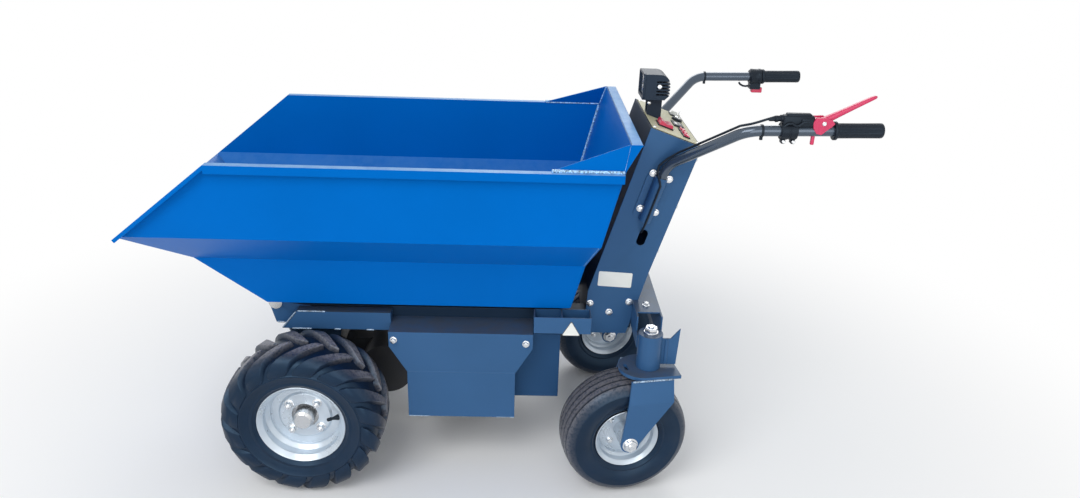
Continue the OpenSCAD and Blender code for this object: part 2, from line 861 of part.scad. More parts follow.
// Casters, each in its own frame: swivel axis at the origin, wheel ahead
fork_t = 6;
fork_top = housing_z0 - rest_gap;
fork_plate_t = 9;
fork_half = 58;
plate_rear_x = -70;
plate_nose_x = 18;
plate_slot = [58, 9, 5];
leg_gap = 6;
leg_in = caster_w / 2 + leg_gap;
leg_x = [-52, 58];
leg_bulge = 8;
leg_upper = 58;
leg_end_r = 24;
caster_axle_d = 20;
caster_axle_half = 83;
caster_nut_d = 32;
caster_nut_t = 7;
stem_over = 18;
stem_top = housing_z1 + stem_over;
stem_washer_d = 36;
stem_washer_t = 4;
stem_nut_d = 32;
stem_nut_t = 11;
stem_thread_d = 16;
module at_caster(s) {
  translate([swivel_x, s * swivel_half, 0]) rotate([0, 0, caster_turn]) children();
}
module fork_plate(z) {
  translate([0, 0, z]) linear_extrude(fork_plate_t) difference() {
    union() {
      translate([plate_rear_x, -fork_half]) square([plate_nose_x - plate_rear_x, 2 * fork_half]);
      translate([plate_nose_x, 0]) circle(r = fork_half);
    }
    translate([plate_slot.x - plate_slot.z, -plate_slot.y]) square([2 * plate_slot.z, 2 * plate_slot.y]);
    for (e = sides) translate([plate_slot.x, e * plate_slot.y]) circle(r = plate_slot.z);
  }
}
module fork_legs(plate_z) {
  shoulder_z = plate_z - leg_upper;
  low_z = caster_z - leg_end_r - cut;
  both() intersection() {
    along(plate_rear_x, trail + 2 * leg_end_r)
      polygon([
        [fork_half - fork_t, plate_z],
        [fork_half, plate_z],
        [leg_in + fork_t, shoulder_z],
        [leg_in + fork_t, low_z],
        [leg_in, low_z],
        [leg_in, shoulder_z]]);
    across(0, leg_in + fork_t + cut) union() {
      polygon([
        [leg_x[0], plate_z],
        [leg_x[1], plate_z],
        [leg_x[1] + leg_bulge, shoulder_z],
        [trail + leg_end_r, caster_z],
        [trail - leg_end_r, caster_z],
        [leg_x[0], shoulder_z]]);
      translate([trail, caster_z]) circle(r = leg_end_r);
    }
  }
}
module caster_axle() {
  translate([trail, 0, caster_z]) rotate([-90, 0, 0]) {
    translate([0, 0, -caster_axle_half]) cylinder(h = 2 * caster_axle_half, d = caster_axle_d);
    for (y = [leg_in + fork_t, -leg_in - fork_t - caster_nut_t])
      translate([0, 0, y]) cylinder(h = caster_nut_t, d = caster_nut_d, $fn = 6);
  }
}
module swivel_stem(z0) {
  washer_z = housing_z1 + rest_gap;
  nut_z = washer_z + stem_washer_t;
  translate([0, 0, z0]) cylinder(h = washer_z + stem_washer_t / 2 - z0, d = stem_d);
  translate([0, 0, washer_z]) cylinder(h = stem_washer_t, d = stem_washer_d);
  translate([0, 0, nut_z]) cylinder(h = stem_nut_t, d = stem_nut_d, $fn = 6);
  translate([0, 0, washer_z]) cylinder(h = stem_top - washer_z, d = stem_thread_d);
}
module caster_fork(s) {
  plate_z = fork_top - fork_plate_t;
  color("slategray") at_caster(s) {
    fork_legs(plate_z);
    caster_axle();
    fork_plate(plate_z);
    swivel_stem(plate_z);
  }
}
module caster_fork_left() { caster_fork(1); }
module caster_fork_right() { caster_fork(-1); }

caster_corners = 32;
caster_out = 1 / cos(180 / caster_corners);
caster_bead_r = 76;
caster_r = caster_d / 2;
caster_half_w = caster_w / 2;
caster_flange_y = 47;
caster_lip = caster_rim_d / 2 - rim_t - caster_bead_r;
caster_rows = [
  [(caster_bead_r + bead_gap) * caster_out, caster_flange_y - caster_lip],
  [(caster_bead_r + caster_lip + bead_gap) * caster_out, caster_flange_y + bead_gap],
  [caster_r - 40, caster_half_w],
  [caster_r - 9, caster_half_w - 11],
  [caster_r, caster_half_w - 34]];
module caster_tyre(s) {
  rows = concat(caster_rows, [for (i = [len(caster_rows) - 1 : -1 : 0]) [caster_rows[i].x, -caster_rows[i].y]]);
  color("#1a1a1a") at_caster(s) translate([trail, 0, caster_z])
    ring_solid(
      [for (q = rows) [for (i = [1 : caster_corners]) q]],
      [for (q = rows) [for (i = [1 : caster_corners]) i * 360 / caster_corners]]);
}
module caster_tyre_left() { caster_tyre(1); }
module caster_tyre_right() { caster_tyre(-1); }

caster_seat = 16;
caster_drop = 7;
caster_disc_t = 6;
caster_hub_gap = 2;
caster_hub_half = leg_in - caster_hub_gap;
caster_hub_r = 24;
module caster_rim(s) {
  color("silver") at_caster(s) turned(trail, 0, caster_z) {
    rim_barrel(caster_bead_r, caster_lip, caster_flange_y, caster_seat, caster_drop);
    translate([caster_hub_r - cut, -caster_disc_t / 2])
      square([caster_bead_r - caster_drop - rim_t - caster_hub_r + 2 * cut, caster_disc_t]);
    translate([caster_axle_d / 2 + run, -caster_hub_half])
      square([caster_hub_r - caster_axle_d / 2 - run, 2 * caster_hub_half]);
  }
}
module caster_rim_left() { caster_rim(1); }
module caster_rim_right() { caster_rim(-1); }

// Column
column_foot_z = 375;
column_foot_x = [-236, -351];
column_bend = [-243, 499];
column_back = [-399, 557];
column_top = [column_top_x, column_top_z];
console_rear = [column_top_x - console_depth, column_top_z - console_drop];
column_front = [[column_foot_x[0], column_foot_z], column_bend, column_top];
column_foot_rear = [column_foot_x[1], column_foot_z];
cable_hole = [-373, 654];
cable_hole_r = 11;

// Rounded slot, twice as long as wide
module cable_slot() {
  for (e = sides) translate([0, e * cable_hole_r]) circle(r = cable_hole_r);
  square(2 * cable_hole_r, center = true);
}
module column_sides() {
  y1 = column_half_w;
  color("slategray") both() difference() {
    across(y1 - column_t, y1) polygon(concat(column_front, [console_rear, column_back, column_foot_rear]));
    translate([cable_hole.x, y1 - column_t - cut, cable_hole.y])
      rotate([-90, -bar_lean, 0]) linear_extrude(column_t + 2 * cut) cable_slot();
    translate([beam_x0 - 2 * beam_w, 0, 0]) cube([2 * beam_w, 2 * y1, beam_z1]);
  }
}

// Front panel and console top, one folded sheet
module column_sheet(y1) {
  across(-y1, y1) polygon(strip(concat(column_front, [console_rear]), column_t));
}
module column_front_panel() {
  y1 = column_half_w - column_t;
  room = 2 * beam_w + abs(beam_x0);
  color("slategray") difference() {
    column_sheet(y1);
    both() translate([-room, rail_in - cut, 0])
      cube([room, column_half_w - rail_in, rail_z + rail_h + cut]);
    translate([-room, -y1, 0]) cube([room, 2 * y1, rail_z]);
  }
}

module column_rear_panel() {
  y1 = column_half_w - column_t;
  top = console_rear + column_t * unit(column_back - console_rear);
  line = [top, column_back, [line_x(column_back, column_foot_rear, beam_z1), beam_z1]];
  color("slategray") difference() {
    across(-y1, y1) polygon(strip(line, column_t));
    column_sheet(y1 + cut);
  }
}

console_slope = atan2(console_drop, console_depth);

// Frame of the console: origin at its front edge on top, x to the rear along the slope
module at_console() {
  translate([column_top_x, 0, column_top_z]) rotate([0, console_slope, 180]) children();
}

panel_start = 5;
panel_len = norm([console_depth, console_drop]) - 2 * panel_start;
panel_edge = 10;
panel_half_w = column_half_w - panel_edge;
panel_t = 2;
module console_panel() {
  color("#d8cda6") at_console()
    translate([panel_start, -panel_half_w, 0]) cube([panel_len, 2 * panel_half_w, panel_t]);
}

// Each control: distance down the panel, across, length, width, height
controls = [
  [42, -80, 36, 40, 12],
  [95, -58, 14, 20, 6],
  [95, -86, 14, 20, 6],
  [95, -114, 14, 20, 6],
  [92, -5, 24, 46, 3],
  [102, 60, 22, 30, 8],
  [102, 115, 22, 30, 10]];
module console_controls() {
  color("#7c1f1f") at_console() for (c = controls)
    translate([panel_start + c[0] - c[2] / 2, c[1] - c[3] / 2, panel_t]) cube([c[2], c[3], c[4]]);
}

// Lamp, with a rounded back, cooling fins and a sunk lens
lamp_w = 84;
lamp_h = 64;
lamp_d = 66;
lamp_round = 26;
lamp_round_step = 15;
lamp_back_rise = 12;
lamp_fins = 5;
lamp_fin_pitch = 8;
lamp_fin_gap = 3.5;
lamp_fin_depth = 34;
lens_t = 4;
lens_edge = 6;
lens_in = 9;
lamp_back = 25;
lamp_lift = 41;
lamp_arm_t = 4;
lamp_arm_half = 20;
lamp_arms = [8, 46];
lamp_x = column_top_x - lamp_back;
lamp_z0 = column_top_z + lamp_lift;
module work_lamp() {
  half = lamp_d / 2;
  color("#222222") translate([lamp_x, 0, lamp_z0]) difference() {
    across(-lamp_w / 2, lamp_w / 2)
      polygon(concat(
        [[half, 0], [half, lamp_h]],
        [for (a = [0 : lamp_round_step : 90])
          [lamp_round * (1 - sin(a)) - half, lamp_h - lamp_round * (1 - cos(a))]],
        [[-half, lamp_back_rise], [lamp_back_rise - half, 0]]));
    for (i = [1 : lamp_fins])
      translate([-half - cut, -lamp_w / 2 - cut, lamp_back_rise + (i - 1) * lamp_fin_pitch])
        cube([lamp_fin_depth + cut, lamp_w + 2 * cut, lamp_fin_gap]);
    translate([half - lens_in, -lamp_w / 2 + lens_edge, lens_edge])
      cube([lens_in + cut, lamp_w - 2 * lens_edge, lamp_h - 2 * lens_edge]);
  }
}
module lamp_lens() {
  color("white")
    translate([lamp_x + lamp_d / 2 - lens_in, -lamp_w / 2 + lens_edge, lamp_z0 + lens_edge])
      cube([lens_t, lamp_w - 2 * lens_edge, lamp_h - 2 * lens_edge]);
}

// Point over the console in the side view, a distance down it from its front edge
function over_console(d, h) = [
  column_top_x - d * cos(console_slope) - h * sin(console_slope),
  column_top_z - d * sin(console_slope) + h * cos(console_slope)];
module lamp_bracket() {
  feet = [for (d = lamp_arms) over_console(d, panel_t)];
  color("slategray") {
    both() across(lamp_arm_half - lamp_arm_t, lamp_arm_half)
      polygon([feet[0], feet[1], [feet[1].x, lamp_z0], [feet[0].x, lamp_z0]]);
    at_console() translate([lamp_arms[0], -lamp_arm_half, panel_t])
      cube([lamp_arms[1] - lamp_arms[0], 2 * lamp_arm_half, lamp_arm_t]);
  }
}

// Handlebars
bar_corners = 16;
bar_seat = 1.5;
bar_y = column_half_w + bar_d / 2 + bar_seat;
bar_low = [-373, bar_y, 705];
bar_mid = [-415, bar_y, 852];
bar_knee = [-565, grip_half, grip_z - 8];
bar_end_in = 4;
bar_end = [grip_end_x + bar_end_in, grip_half, grip_z];
bar_run = unit(bar_end - bar_knee);
function bar_at(x) = bar_knee + bar_run * (x - bar_knee.x) / bar_run.x;
module handlebars() {
  color("slategray") both()
    swept(rounded_route([bar_low, bar_mid, bar_knee, bar_end], bar_bend), bar_d, bar_corners);
}

bar_lean = atan2(bar_low.x - bar_mid.x, bar_mid.z - bar_low.z);
clamp_len = 120;
clamp_w = 66;
clamp_t = 3;
clamp_r = 12;
clamp_bore = bar_d + 2 * run;
clamp_foot = bar_y - column_half_w;
clamp_out = clamp_foot + clamp_bore / 2 + clamp_t;

// Hat section over the tube, and the rounded outline of its plate
module clamp_hat() {
  difference() {
    union() {
      translate([-clamp_w / 2, 0]) square([clamp_w, clamp_t]);
      translate([-clamp_bore / 2 - clamp_t, 0]) square([clamp_bore + 2 * clamp_t, clamp_foot]);
      intersection() {
        translate([0, clamp_foot]) circle(d = clamp_bore + 2 * clamp_t);
        translate([-clamp_w / 2, 0]) square(clamp_w);
      }
    }
    translate([0, clamp_foot]) circle(d = clamp_bore);
    translate([-clamp_bore / 2, -cut]) square([clamp_bore, clamp_foot + cut]);
  }
}
module clamp_outline() {
  translate([-clamp_w / 2 + clamp_r, 0]) square([clamp_w - 2 * clamp_r, clamp_len]);
  translate([-clamp_w / 2, clamp_r]) square([clamp_w, clamp_len - 2 * clamp_r]);
  for (e = sides) for (z = [clamp_r, clamp_len - clamp_r])
    translate([e * (clamp_w / 2 - clamp_r), z]) circle(r = clamp_r);
}
module handle_clamps() {
  color("slategray") both()
    translate([bar_low.x, column_half_w, bar_low.z]) rotate([0, -bar_lean, 0])
      intersection() {
        linear_extrude(clamp_len) clamp_hat();
        translate([0, clamp_out + cut, 0]) rotate([90, 0, 0])
          linear_extrude(clamp_out + 2 * cut) clamp_outline();
      }
}

// Frame on the tube of a grip: z to the rear along it
module on_bar(x) {
  translate(bar_at(x)) rotate([0, acos(bar_run.z), atan2(bar_run.y, bar_run.x)]) children();
}
grip_collar_r = grip_d / 2 + 4;
grip_collar_t = 8;
grip_round = 4;
module grips() {
  bore = bar_d / 2 + run;
  blind = grip_len - bar_end_in + rest_gap;
  color("#151515") both() on_bar(grip_end_x + grip_len) rotate_extrude()
    polygon([
      [bore, 0],
      [grip_collar_r, 0],
      [grip_collar_r, grip_collar_t - rim_t],
      [grip_d / 2, grip_collar_t],
      [grip_d / 2, grip_len - grip_round],
      [grip_d / 2 - grip_round, grip_len],
      [0, grip_len],
      [0, blind],
      [bore, blind]]);
}

perch_x0 = -735;
perch_x1 = -636;
perch_z0 = grip_z + 6;
perch_z1 = grip_z + 36;
perch_nose = 8;
perch_half_w = 9;
perch_band = 44;
perch_band_d = bar_d + 12;
seat_gap = 0.3;
module brake_perch() {
  middle = (perch_x0 + perch_x1) / 2;
  color("#151515") difference() {
    union() {
      rod(bar_at(middle + perch_band / 2), bar_at(middle - perch_band / 2), perch_band_d);
      across(grip_half - perch_half_w, grip_half + perch_half_w)
        polygon([
          [perch_x1 - seat_gap, perch_z0],
          [perch_x1 - seat_gap, perch_z1 - perch_nose],
          [perch_x1 - perch_nose, perch_z1],
          [perch_x0, perch_z1],
          [perch_x0, perch_z0]]);
    }
    rod(bar_at(perch_x1 + cut), bar_at(perch_x0 - cut), bar_d + 2 * run);
  }
}

lever_tip = [-842, grip_z + 76];
lever_tip_h = 6;
lever_root_len = 26;
lever_root_z = grip_z + 21;
lever_root_h = 18;
lever_half_w = 6;
lever_root_half_w = 11;
module brake_lever() {
  x1 = perch_x0 - seat_gap;
  x0 = x1 - lever_root_len;
  z1 = lever_root_z + lever_root_h;
  color("#a8323a") {
    across(grip_half - lever_root_half_w, grip_half + lever_root_half_w)
      polygon([[x1, lever_root_z], [x1, z1], [x0, z1], [x0, lever_root_z + lever_tip_h]]);
    across(grip_half - lever_half_w, grip_half + lever_half_w)
      polygon([
        [x1 - lever_tip_h, z1],
        [lever_tip.x, lever_tip.y + lever_tip_h / 2],
        [lever_tip.x, lever_tip.y - lever_tip_h / 2],
        [x0, lever_root_z + lever_tip_h]]);
  }
}

throttle_x = -742;
throttle_ahead = 18;
throttle_behind = 12;
throttle_d = bar_d + 18;
pod = [30, 26, 26];
pod_drop = 38;
module throttle_housing() {
  x1 = throttle_x + throttle_ahead;
  x0 = throttle_x - throttle_behind;
  color("#151515") mirror([0, 1, 0]) difference() {
    union() {
      rod(bar_at(x1), bar_at(x0), throttle_d);
      translate([x1 - seat_gap - pod.x, grip_half - pod.y / 2, grip_z - pod_drop]) cube(pod);
    }
    rod(bar_at(x1 + cut), bar_at(x0 - cut), bar_d + 2 * run);
  }
}

// Cables: points on the tube's straight run, on its rising part and beside the clamp
cable_d = 6;
cable_corners = 8;
cable_lift = 20;
ridge_y = column_half_w + clamp_out + cable_d / 2 + bar_seat;
clamp_dir = unit([bar_mid.x - bar_low.x, bar_mid.z - bar_low.z]);
function on_run(back, up) = bar_at(bar_knee.x - back) + [0, 0, up];
function on_rise(t) = bar_mid + (bar_knee - bar_mid) * t + [0, 0, cable_lift];
function on_clamp(along, ahead, y) = [
  bar_low.x + along * clamp_dir.x + ahead * clamp_dir.y,
  y,
  bar_low.z + along * clamp_dir.y - ahead * clamp_dir.x];
brake_route = concat(
  [[perch_x1, grip_half, grip_z + 26], [perch_x1 + 14, grip_half, grip_z + 25]],
  [on_run(39, 26), on_run(21, cable_lift), on_run(5, bar_d / 2 + cable_d / 2)],
  [for (t = [0.9, 0.7, 0.5, 0.3, 0.14]) on_rise(t)],
  [on_rise(0) + [0, 9, 0]],
  [on_clamp(clamp_len + 28, 18, bar_y + 4), on_clamp(clamp_len + 13, 18, bar_y + 11)],
  [on_clamp(clamp_len, 10, ridge_y - 1)],
  [for (t = [0.86, 0.58, 0.32, 0.06]) on_clamp(t * clamp_len, 0, ridge_y)],
  [on_clamp(-8, 0, ridge_y - 3)],
  [for (q = [[4, 8, 31], [4, -4, 21], [3, -24, 10]]) [cable_hole.x + q.x, bar_y + q.y, cable_hole.y + q.z]]);
module brake_cable() {
  color("#151515") swept(brake_route, cable_d, cable_corners);
}

// Short loop from the pod up to the tube's underside: distance ahead, below the tube
throttle_loop = [[1, 14], [9, 16], [18, 15], [26, 11], [31, 5]];
module throttle_cable() {
  start = bar_at(throttle_x + throttle_ahead) - [0, 0, bar_d / 2];
  route = [for (q = throttle_loop) [start.x + q.x, -start.y, start.z - q.y]];
  color("#151515") swept(route, cable_d, cable_corners);
}

skip_floor();
skip_side_left();
skip_side_right();
skip_rear_wall();
skip_gussets();
skip_runners();
skip_pivot_eyes();
skip_ram_lugs();
pivot_brackets();
pivot_shaft();
main_rails();
cross_members();
rest_pads();
front_side_rails();
rear_trays();
battery_box();
controller_box();
battery_guards();
guard_brackets();
ram_bracket();
ram_body();
ram_rod();
drive_axle();
drive_motor();
axle_hangers();
rear_beam();
swivel_housings();
column_sides();
column_front_panel();
column_rear_panel();
console_panel();
console_controls();
work_lamp();
lamp_lens();
lamp_bracket();
handlebars();
handle_clamps();
grips();
brake_perch();
brake_lever();
brake_cable();
throttle_housing();
throttle_cable();
tyre_left();
rim_left();
hub_left();
tyre_right();
rim_right();
hub_right();
caster_fork_left();
caster_tyre_left();
caster_rim_left();
caster_fork_right();
caster_tyre_right();
caster_rim_right();
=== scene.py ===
"""Looks of the walk-behind skip dumper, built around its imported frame. Metres; +X forward, +Y left, +Z up."""

import json
import math

import bmesh
import bpy
from mathutils import Matrix, Vector


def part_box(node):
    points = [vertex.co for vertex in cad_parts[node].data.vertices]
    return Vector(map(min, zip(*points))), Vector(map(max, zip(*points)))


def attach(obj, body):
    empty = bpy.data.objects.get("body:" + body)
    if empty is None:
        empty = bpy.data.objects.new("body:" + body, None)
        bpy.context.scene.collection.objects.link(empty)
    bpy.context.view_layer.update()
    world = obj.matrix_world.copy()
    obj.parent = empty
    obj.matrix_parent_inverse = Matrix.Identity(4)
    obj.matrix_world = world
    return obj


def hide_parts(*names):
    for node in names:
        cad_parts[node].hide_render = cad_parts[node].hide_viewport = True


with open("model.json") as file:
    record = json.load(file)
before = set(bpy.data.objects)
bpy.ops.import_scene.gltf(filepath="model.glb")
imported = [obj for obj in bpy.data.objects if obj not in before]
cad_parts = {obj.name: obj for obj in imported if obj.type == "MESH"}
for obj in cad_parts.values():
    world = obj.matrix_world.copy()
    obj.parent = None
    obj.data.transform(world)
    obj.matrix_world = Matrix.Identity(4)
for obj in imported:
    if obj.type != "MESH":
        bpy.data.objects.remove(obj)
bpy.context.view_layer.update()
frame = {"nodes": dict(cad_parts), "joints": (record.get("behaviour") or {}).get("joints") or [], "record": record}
joints = {joint["name"]: joint for joint in frame["joints"]}
node_slot = {row["node"]: row["material_slot"] for row in frame["record"]["subparts"]}
X, Y, Z = (Vector(axis) for axis in ((1, 0, 0), (0, 1, 0), (0, 0, 1)))
MM = 0.001
SIDES = (1, -1)
NAMED_SIDES = ((1, "left"), (-1, "right"))


def show(thing):
    bpy.context.scene.collection.objects.link(thing)


# Camera, fitted to the photograph's 1080 x 498 frame
CAMERA_PLACE = Vector((-0.0600, 2.0562, 1.4356))
CAMERA_YAW, CAMERA_PITCH, CAMERA_ROLL = (math.radians(a) for a in (1.61, 23.35, -1.96))
FOCAL_PIXELS, FRAME_PIXELS, SENSOR = 806.47, 1080, 36


def make_camera():
    ahead = Vector((-math.sin(CAMERA_YAW) * math.cos(CAMERA_PITCH),
                    -math.cos(CAMERA_YAW) * math.cos(CAMERA_PITCH), -math.sin(CAMERA_PITCH)))
    level = Vector((-math.cos(CAMERA_YAW), math.sin(CAMERA_YAW), 0))
    below = ahead.cross(level)
    right = math.cos(CAMERA_ROLL) * level + math.sin(CAMERA_ROLL) * below
    down = math.cos(CAMERA_ROLL) * below - math.sin(CAMERA_ROLL) * level
    data = bpy.data.cameras.new("photo_camera")
    data.sensor_width = SENSOR
    data.lens = FOCAL_PIXELS / FRAME_PIXELS * SENSOR
    camera = bpy.data.objects.new("photo_camera", data)
    turn = Matrix((right, -down, -ahead)).transposed().to_4x4()
    camera.matrix_world = Matrix.Translation(CAMERA_PLACE) @ turn
    show(camera)
    bpy.context.scene.camera = camera


make_camera()


# Shader node helpers

def add_node(tree, kind, inputs=None, **settings):
    node = tree.nodes.new("ShaderNode" + kind)
    for name, value in settings.items():
        setattr(node, name, value)
    for name, value in (inputs or {}).items():
        if isinstance(value, bpy.types.NodeSocket):
            tree.links.new(value, node.inputs[name])
        else:
            node.inputs[name].default_value = value
    return node


def new_group(name, inputs, outputs):
    group = bpy.data.node_groups.new(name, "ShaderNodeTree")
    for label, kind, value in inputs:
        socket = group.interface.new_socket(name=label, in_out="INPUT", socket_type=kind)
        socket.default_value = value
    for label, kind in outputs:
        group.interface.new_socket(name=label, in_out="OUTPUT", socket_type=kind)
    return group, group.nodes.new("NodeGroupInput").outputs, group.nodes.new("NodeGroupOutput").inputs


FLOAT, COLOUR = "NodeSocketFloat", "NodeSocketColor"
# A colour Mix node's two inputs and its output
MIX_FIRST, MIX_SECOND, MIX_RESULT = 6, 7, 2


def make_surface_group():
    """Slow changes of tone and gloss over a surface, and a fine grain for its bump."""
    group, given, out = new_group(
        "surface_grain",
        [("Colour", COLOUR, (0.5, 0.5, 0.5, 1)), ("Shade", FLOAT, 0.05), ("Patch", FLOAT, 6),
         ("Roughness", FLOAT, 0.4), ("Gloss change", FLOAT, 0.05), ("Grain", FLOAT, 400)],
        [("Colour", COLOUR), ("Roughness", FLOAT), ("Height", FLOAT)])
    place = add_node(group, "TexCoord").outputs["Object"]
    broad = add_node(group, "TexNoise", {"Vector": place, "Scale": given["Patch"], "Detail": 4})
    fine = add_node(group, "TexNoise", {"Vector": place, "Scale": given["Grain"], "Detail": 2})

    def around(middle, change):
        low = add_node(group, "Math", {0: middle, 1: change}, operation="SUBTRACT")
        high = add_node(group, "Math", {0: middle, 1: change}, operation="ADD")
        return add_node(group, "MapRange", {
            "Value": broad.outputs["Fac"], "From Min": 0.3, "From Max": 0.7,
            "To Min": low.outputs[0], "To Max": high.outputs[0]}).outputs["Result"]

    tone = add_node(group, "HueSaturation", {"Color": given["Colour"], "Value": around(1, given["Shade"])})
    group.links.new(tone.outputs["Color"], out["Colour"])
    group.links.new(around(given["Roughness"], given["Gloss change"]), out["Roughness"])
    group.links.new(fine.outputs["Fac"], out["Height"])
    return group


def mix_dust_and_sheen(group, given, out, first, second):
    """Dust over a colour, as far as two masks allow together; on the blue paint's upward faces this colour is a painted
    sheen of sky light.
    """
    mask = add_node(group, "Math", {0: first.outputs[0], 1: second.outputs[0]}, operation="MULTIPLY")
    mixed = add_node(group, "Mix", {"Factor": mask.outputs[0]}, data_type="RGBA")
    group.links.new(given["Colour"], mixed.inputs[MIX_FIRST])
    group.links.new(given["Dust and sheen"], mixed.inputs[MIX_SECOND])
    group.links.new(mixed.outputs[MIX_RESULT], out["Colour"])
    group.links.new(mask.outputs[0], out["Mask"])
    return group


def make_dust_group():
    """Dry dust that thins out with height above the ground."""
    group, given, out = new_group(
        "ground_dust",
        [("Colour", COLOUR, (0.5, 0.5, 0.5, 1)), ("Dust and sheen", COLOUR, (0.25, 0.21, 0.17, 1)),
         ("Top", FLOAT, 0.4), ("Amount", FLOAT, 0.3)],
        [("Colour", COLOUR), ("Mask", FLOAT)])
    place = add_node(group, "TexCoord").outputs["Object"]
    height = add_node(group, "SeparateXYZ", {"Vector": place}).outputs["Z"]
    fall = add_node(group, "MapRange", {
        "Value": height, "From Min": 0, "From Max": given["Top"], "To Min": given["Amount"], "To Max": 0})
    cloud = add_node(group, "TexNoise", {"Vector": place, "Scale": 22, "Detail": 6, "Roughness": 0.65})
    patch = add_node(group, "MapRange", {"Value": cloud.outputs["Fac"], "From Min": 0.35, "From Max": 0.65})
    return mix_dust_and_sheen(group, given, out, fall, patch)


def make_upward_dust_and_sheen_group():
    """Settled dust on faces looking upwards; on the blue paint the colour there is a pale blue, a painted sheen of sky
    light.
    """
    group, given, out = new_group(
        "upward_dust_and_sheen",
        [("Colour", COLOUR, (0.5, 0.5, 0.5, 1)), ("Dust and sheen", COLOUR, (0.25, 0.21, 0.17, 1)), ("Amount", FLOAT, 0.5)],
        [("Colour", COLOUR), ("Mask", FLOAT)])
    place = add_node(group, "TexCoord").outputs
    upward = add_node(group, "SeparateXYZ", {"Vector": place["Normal"]}).outputs["Z"]
    level = add_node(group, "MapRange", {
        "Value": upward, "From Min": 0.70, "From Max": 0.97, "To Min": 0, "To Max": given["Amount"]})
    cloud = add_node(group, "TexNoise", {
        "Vector": place["Object"], "Scale": 30, "Detail": 6, "Roughness": 0.65})
    patch = add_node(group, "MapRange", {
        "Value": cloud.outputs["Fac"], "From Min": 0.3, "From Max": 0.6, "To Min": 0.55, "To Max": 1})
    return mix_dust_and_sheen(group, given, out, level, patch)


SURFACE = make_surface_group()
DUST = make_dust_group()
UPWARD_DUST_AND_SHEEN = make_upward_dust_and_sheen_group()


def place_group(tree, group, inputs):
    return add_node(tree, "Group", inputs, node_tree=group).outputs


def make_finish(name, colour, rough, shade=0.06, patch=6, gloss_change=0.05, grain=400, bump=0.1, depth=0.0002,
                metal=0.0, coat=0.0, coat_rough=0.1, specular=0.5, tint=(1, 1, 1), dust=0.0, dust_top=0.4,
                top_dust_and_sheen=None, worn=None):
    """A finish with changing tone and gloss, grain, dust near the ground, and a colour on level faces: settled dust,
    and on the blue paint a painted sheen.

    worn is the colour of scuffed places, the level-face setting a colour and an amount (dust, and on the blue paint a
    painted sheen), tint the colour of straight reflections.
    """
    material = bpy.data.materials.new(name)
    material.use_nodes = True
    tree = material.node_tree
    shader = tree.nodes["Principled BSDF"]
    surface = place_group(tree, SURFACE, {"Colour": (*colour, 1), "Shade": shade, "Patch": patch, "Roughness": rough,
                                          "Gloss change": gloss_change, "Grain": grain})
    tone = surface["Colour"]
    if worn:
        place = add_node(tree, "TexCoord").outputs["Object"]
        cloud = add_node(tree, "TexNoise", {"Vector": place, "Scale": 150, "Detail": 4, "Roughness": 0.6})
        rubbed = add_node(tree, "MapRange", {
            "Value": cloud.outputs["Fac"], "From Min": 0.25, "From Max": 0.55})
        scuff = add_node(tree, "Attribute", attribute_name="worn").outputs["Fac"]
        amount = add_node(tree, "Math", {0: scuff, 1: rubbed.outputs[0]}, operation="MULTIPLY")
        mixed = add_node(tree, "Mix", {"Factor": amount.outputs[0]}, data_type="RGBA")
        tree.links.new(tone, mixed.inputs[MIX_FIRST])
        mixed.inputs[MIX_SECOND].default_value = (*worn, 1)
        tone = mixed.outputs[MIX_RESULT]
    if top_dust_and_sheen:
        tone = place_group(tree, UPWARD_DUST_AND_SHEEN, {"Colour": tone, "Dust and sheen": (*top_dust_and_sheen[0], 1), "Amount": top_dust_and_sheen[1]})["Colour"]
    if dust:
        tone = place_group(tree, DUST, {"Colour": tone, "Top": dust_top, "Amount": dust})["Colour"]
    relief = add_node(tree, "Bump", {"Strength": bump, "Distance": depth, "Height": surface["Height"]})
    for socket, value in (("Base Color", tone), ("Roughness", surface["Roughness"]),
                          ("Normal", relief.outputs["Normal"])):
        tree.links.new(value, shader.inputs[socket])
    for socket, value in (("Metallic", metal), ("Coat Weight", coat), ("Coat Roughness", coat_rough),
                          ("Specular IOR Level", specular), ("Specular Tint", (*tint, 1))):
        shader.inputs[socket].default_value = value
    return material
